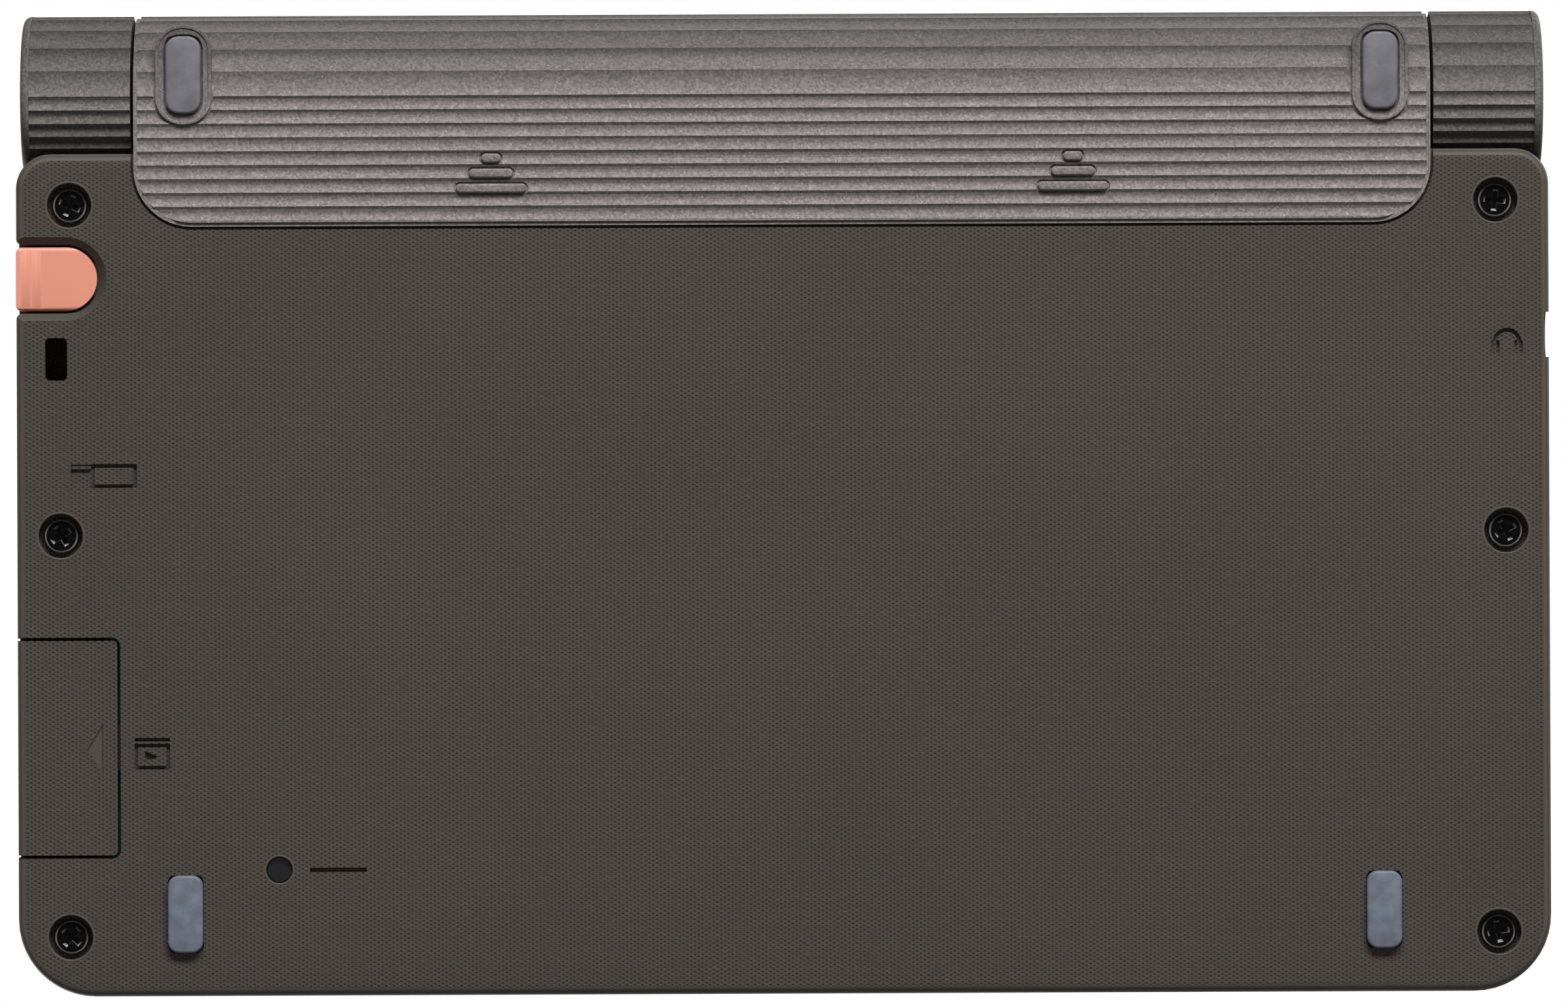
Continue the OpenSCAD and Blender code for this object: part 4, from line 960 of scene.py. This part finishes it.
def carved(node, cutters):
    """A merged copy of a solid with the cutters' shapes taken out, as a bmesh."""
    copy = bmesh.new()
    copy.from_mesh(nodes[node].data)
    bmesh.ops.remove_doubles(copy, verts=copy.verts[:], dist=1e-6)
    whole = copy.calc_volume()
    body = plain_object(node + "_copy", copy)
    tools = [plain_object("cutter", mesh) for mesh in cutters]
    for tool in tools:
        cut = body.modifiers.new("cut", "BOOLEAN")
        cut.operation = "DIFFERENCE"
        cut.solver = "EXACT"
        cut.object = tool
    apply_modifiers(body)
    result = bmesh.new()
    result.from_mesh(body.data)
    bmesh.ops.dissolve_degenerate(result, dist=1e-7, edges=result.edges[:])
    bmesh.ops.dissolve_limit(result, angle_limit=FLAT_ENOUGH, verts=result.verts[:], edges=result.edges[:],
                             use_dissolve_boundaries=False)
    for thing in [body] + tools:
        bpy.data.objects.remove(thing)
    print(node, "carved away:", round((whole - result.calc_volume()) / MM ** 3, 2), "cubic mm")
    return result


# %% [markdown]
# Three kinds of gap go into the cover: a pocket round each foot that is a little wider than the
# foot, a fine line round each island, and a pocket for each push bar.
# The bars are then put back as soft pieces, so each keeps its thin dark outline.

# %% Cover
SHADOW_GAP = 0.22 * MM
BAR_WIDTHS = (7.25 * MM, 4.5 * MM, 2.0 * MM)
BAR_HEIGHT = 0.95 * MM
BAR_STEP = 1.56 * MM
BAR_FIRST = 3.85 * MM
BAR_X = 30.1 * MM
ISLAND_MARGIN = (2.15 * MM, 2.3 * MM)
ISLAND_RIM = 0.34 * MM
RIM_RISE = 0.12 * MM
FLUTE_CREASE = 22

cover_low, cover_high = (Vector(corner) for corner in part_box("battery_cover"))
feet_boxes = islands("rear_feet")
crest = feet_boxes[0][1].z - 0.5 * MM
cutters = []
rims = []
for low, high in feet_boxes:
    middle = (low + high) / 2
    size = (high.x - low.x, high.y - low.y)
    around = tuple(side + 2 * SHADOW_GAP for side in size)
    cutters.append(plate(middle, around, REAR_FOOT_CORNER + SHADOW_GAP, -MM, high.z))
    island = tuple(side + margin for side, margin in zip(size, ISLAND_MARGIN))
    outside = tuple(side + 2 * SHADOW_GAP for side in island)
    cutters.append(frame_line(middle, outside, island[0] * 0.47 + SHADOW_GAP, SHADOW_GAP, -MM,
                              crest + 0.3 * MM))
    rims.append(frame_line(middle, island, island[0] * 0.47, ISLAND_RIM, crest - RIM_RISE,
                           crest + 0.1 * MM))
bars = []
for side in (-1, 1):
    for count, width in enumerate(BAR_WIDTHS):
        middle = (side * BAR_X, cover_low.y + BAR_FIRST + count * BAR_STEP)
        around = (width + 2 * SHADOW_GAP, BAR_HEIGHT + 2 * SHADOW_GAP)
        cutters.append(plate(middle, around, 0.45 * MM + SHADOW_GAP, -MM, crest + 0.5 * MM))
        bars.append((middle, width))
cover_shell = carved("battery_cover", cutters)
print("cover faces:", len(cover_shell.faces))
add_piece("battery_cover_shell", cover_shell, "battery_cover", "satin_paint", ["battery_cover"], FLUTE_CREASE)


def push_bar(middle, width):
    top = crest - 0.2 * MM
    low = Vector((middle[0] - width / 2, middle[1] - BAR_HEIGHT / 2, top))
    high = Vector((middle[0] + width / 2, middle[1] + BAR_HEIGHT / 2, crest + 0.5 * MM))
    return soft_pad(low, high, 0.44 * MM, 0.22 * MM)


add_piece("push_bars", joined([push_bar(*bar) for bar in bars]), "battery_cover", "satin_paint")
for rim in rims:
    under = [e for e in rim.edges if all(abs(v.co.z - (crest - RIM_RISE)) < 1e-6 for v in e.verts)]
    round_edges(rim, under, 0.06 * MM, 3)
add_piece("island_rims", joined(rims), "battery_cover", "satin_paint")
print("push bars:", len(bars), "island rims:", len(rims))

# %% [markdown]
# The hinge tubes have the same flutes, so they get the same treatment without any cuts: merging the
# copy is what lets the shading run smoothly from facet to facet while the crests stay sharp.

# %% Hinge tubes
for side in ("left", "right"):
    node = "hinge_barrel_" + side
    add_piece(node + "_skin", carved(node, []), "lid", "barrel_paint", [node], FLUTE_CREASE)

# %% [markdown]
# The stylus cap has two shallow finger grooves across its outer end. They are so shallow that they
# only show as soft bands. A cylinder across the cap, almost wholly outside it, cuts each of them.

# %% Stylus cap
GROOVE_RADIUS = 3.2 * MM
GROOVE_DEPTH = 0.05 * MM
GROOVES_IN = (1.0 * MM, 2.1 * MM)

cap_low, cap_high = (Vector(corner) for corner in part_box("stylus_cap"))
grooves = []
for reach in GROOVES_IN:
    groove = bmesh.new()
    bmesh.ops.create_cone(groove, cap_ends=True, segments=128, radius1=GROOVE_RADIUS,
                          radius2=GROOVE_RADIUS, depth=20 * MM)
    bmesh.ops.rotate(groove, verts=groove.verts[:], cent=(0, 0, 0),
                     matrix=Matrix.Rotation(math.pi / 2, 3, "X"))
    bmesh.ops.translate(groove, verts=groove.verts[:], vec=(
        cap_high.x - reach, cap_low.y, cap_low.z - GROOVE_RADIUS + GROOVE_DEPTH))
    grooves.append(groove)
add_piece("stylus_cap_shell", carved("stylus_cap", grooves), "stylus", "coral_plastic", ["stylus_cap"])
print("cap grooves:", len(grooves))

# %% [markdown]
# The case's marks are generic pictures, pressed in by half a millimetre: a card, a plug, a
# headset and a bar beside the reset hole. Each is cut a little deeper and wider than in the solid,
# so that it throws the dark upper edge and the light lower edge that the photograph shows, and so
# that no wall of a cutter lies in a wall of the solid, which a Boolean handles badly.

# %% Marks
MARK_DEPTH = 0.5 * MM
STROKE = 0.34 * MM
OVERCUT = 0.03 * MM
BAND_RADIUS = 1.49 * MM
BAND_STROKE = 0.42 * MM
PLAY_POINTS = ((0.75, 0.6), (0.75, -0.6), (-0.6, 0))
DOOR_GAP = 0.34 * MM
DOOR_CORNER = 0.9 * MM
case_low, case_high = (Vector(corner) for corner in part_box("bottom_case"))
door_low, door_high = (Vector(corner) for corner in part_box("card_door"))
floor_z = case_low.z
mark_top = floor_z + MARK_DEPTH


def pressed_bar(x0, x1, y0, y1):
    return plate(((x0 + x1) / 2, (y0 + y1) / 2), (x1 - x0 + 2 * OVERCUT, y1 - y0 + 2 * OVERCUT),
                 0.06 * MM, -MM, mark_top, 2)


def pressed_frame(x0, x1, y0, y1):
    return frame_line(((x0 + x1) / 2, (y0 + y1) / 2), (x1 - x0 + 2 * OVERCUT, y1 - y0 + 2 * OVERCUT),
                      0.06 * MM, STROKE + OVERCUT, -MM, mark_top)


door_edge = door_low.x + 2.5 * MM
door_middle = (door_low.y + door_high.y) / 2
card_right = door_edge - 1.8 * MM
card_left = card_right - 3.6 * MM
plug_x = case_high.x - 12.45 * MM
plug_y = case_high.y - 33.35 * MM
head_x = case_low.x + 4.4 * MM
head_y = case_high.y - 20.1 * MM

play = bmesh.new()
play.faces.new([play.verts.new((x * MM, y * MM, 0)) for x, y in PLAY_POINTS])
bmesh.ops.recalc_face_normals(play, faces=play.faces[:])
raise_up(play, ((card_left + card_right) / 2, door_middle - 0.9 * MM), -MM, mark_top)
bmesh.ops.recalc_face_normals(play, faces=play.faces[:])

band = bmesh.new()
ends = [band.verts.new((reach, 0, 0)) for reach in (BAND_RADIUS - BAND_STROKE, BAND_RADIUS)]
band.edges.new(ends)
bmesh.ops.spin(band, geom=band.verts[:] + band.edges[:], cent=(0, 0, 0), axis=(0, 0, 1),
               angle=math.pi, steps=24)
bmesh.ops.recalc_face_normals(band, faces=band.faces[:])
raise_up(band, (head_x, head_y), -MM, mark_top)
bmesh.ops.recalc_face_normals(band, faces=band.faces[:])

marks = [
    pressed_frame(card_left, card_right, door_middle - 2.2 * MM, door_middle + 0.4 * MM),
    pressed_bar(card_left, card_right, door_middle + 0.7 * MM, door_middle + 1.0 * MM),
    pressed_frame(plug_x, plug_x + 4.7 * MM, plug_y - 1.2 * MM, plug_y + 1.2 * MM),
    pressed_bar(plug_x + 4.7 * MM, plug_x + 6.8 * MM, plug_y - 0.7 * MM, plug_y + 0.7 * MM),
    pressed_bar(head_x - 1.6 * MM, head_x - 0.8 * MM, head_y - 1.1 * MM, head_y + 0.1 * MM),
    pressed_bar(head_x + 0.8 * MM, head_x + 1.6 * MM, head_y - 1.1 * MM, head_y + 0.1 * MM),
    pressed_bar(reset_centre.x - 9 * MM, reset_centre.x - 3.2 * MM, reset_centre.y - 0.2 * MM,
                reset_centre.y + 0.2 * MM),
    plate(((door_edge - DOOR_GAP + case_high.x + MM) / 2, door_middle),
          (case_high.x + MM - door_edge + DOOR_GAP, door_high.y - door_low.y + 2 * DOOR_GAP),
          DOOR_CORNER, -MM, floor_z + 0.55 * MM),
    play, band]
case_shell = carved("bottom_case", marks)
print("case faces:", len(case_shell.faces))
add_piece("bottom_case_shell", case_shell, "base", "case_plastic", ["bottom_case"])

# %% [markdown]
# The card door carries an arrow that shows which way it opens. Its floor is smooth, without pits, so
# it reads as a clean triangle, and its straight edge catches the light. The door's copy gets the
# recess, and a thin smooth plate lies on the recess's floor.

# %% Door arrow
ARROW_DEPTH = 0.3 * MM
ARROW_POINTS = ((1.5, -2.7), (1.5, 2.5), (3.1, -0.1))
PLATE = 0.06 * MM


def arrow(low, high):
    mesh = bmesh.new()
    mesh.faces.new([mesh.verts.new((x * MM, y * MM, 0)) for x, y in ARROW_POINTS])
    raise_up(mesh, (door_edge, door_middle), low, high)
    return mesh


add_piece("card_door_shell", carved("card_door", [arrow(-MM, floor_z + ARROW_DEPTH)]), "card_door",
          "case_plastic", ["card_door"])
smooth_case = finish("smooth_case", (76, 71, 66), 0.5, patch=0.05, Specular_IOR_Level=0.2)["material"]
add_piece("door_arrow_floor", arrow(floor_z + ARROW_DEPTH - PLATE, floor_z + ARROW_DEPTH + PLATE),
          "card_door", "case_plastic", material=smooth_case)
print("door arrow: 1")
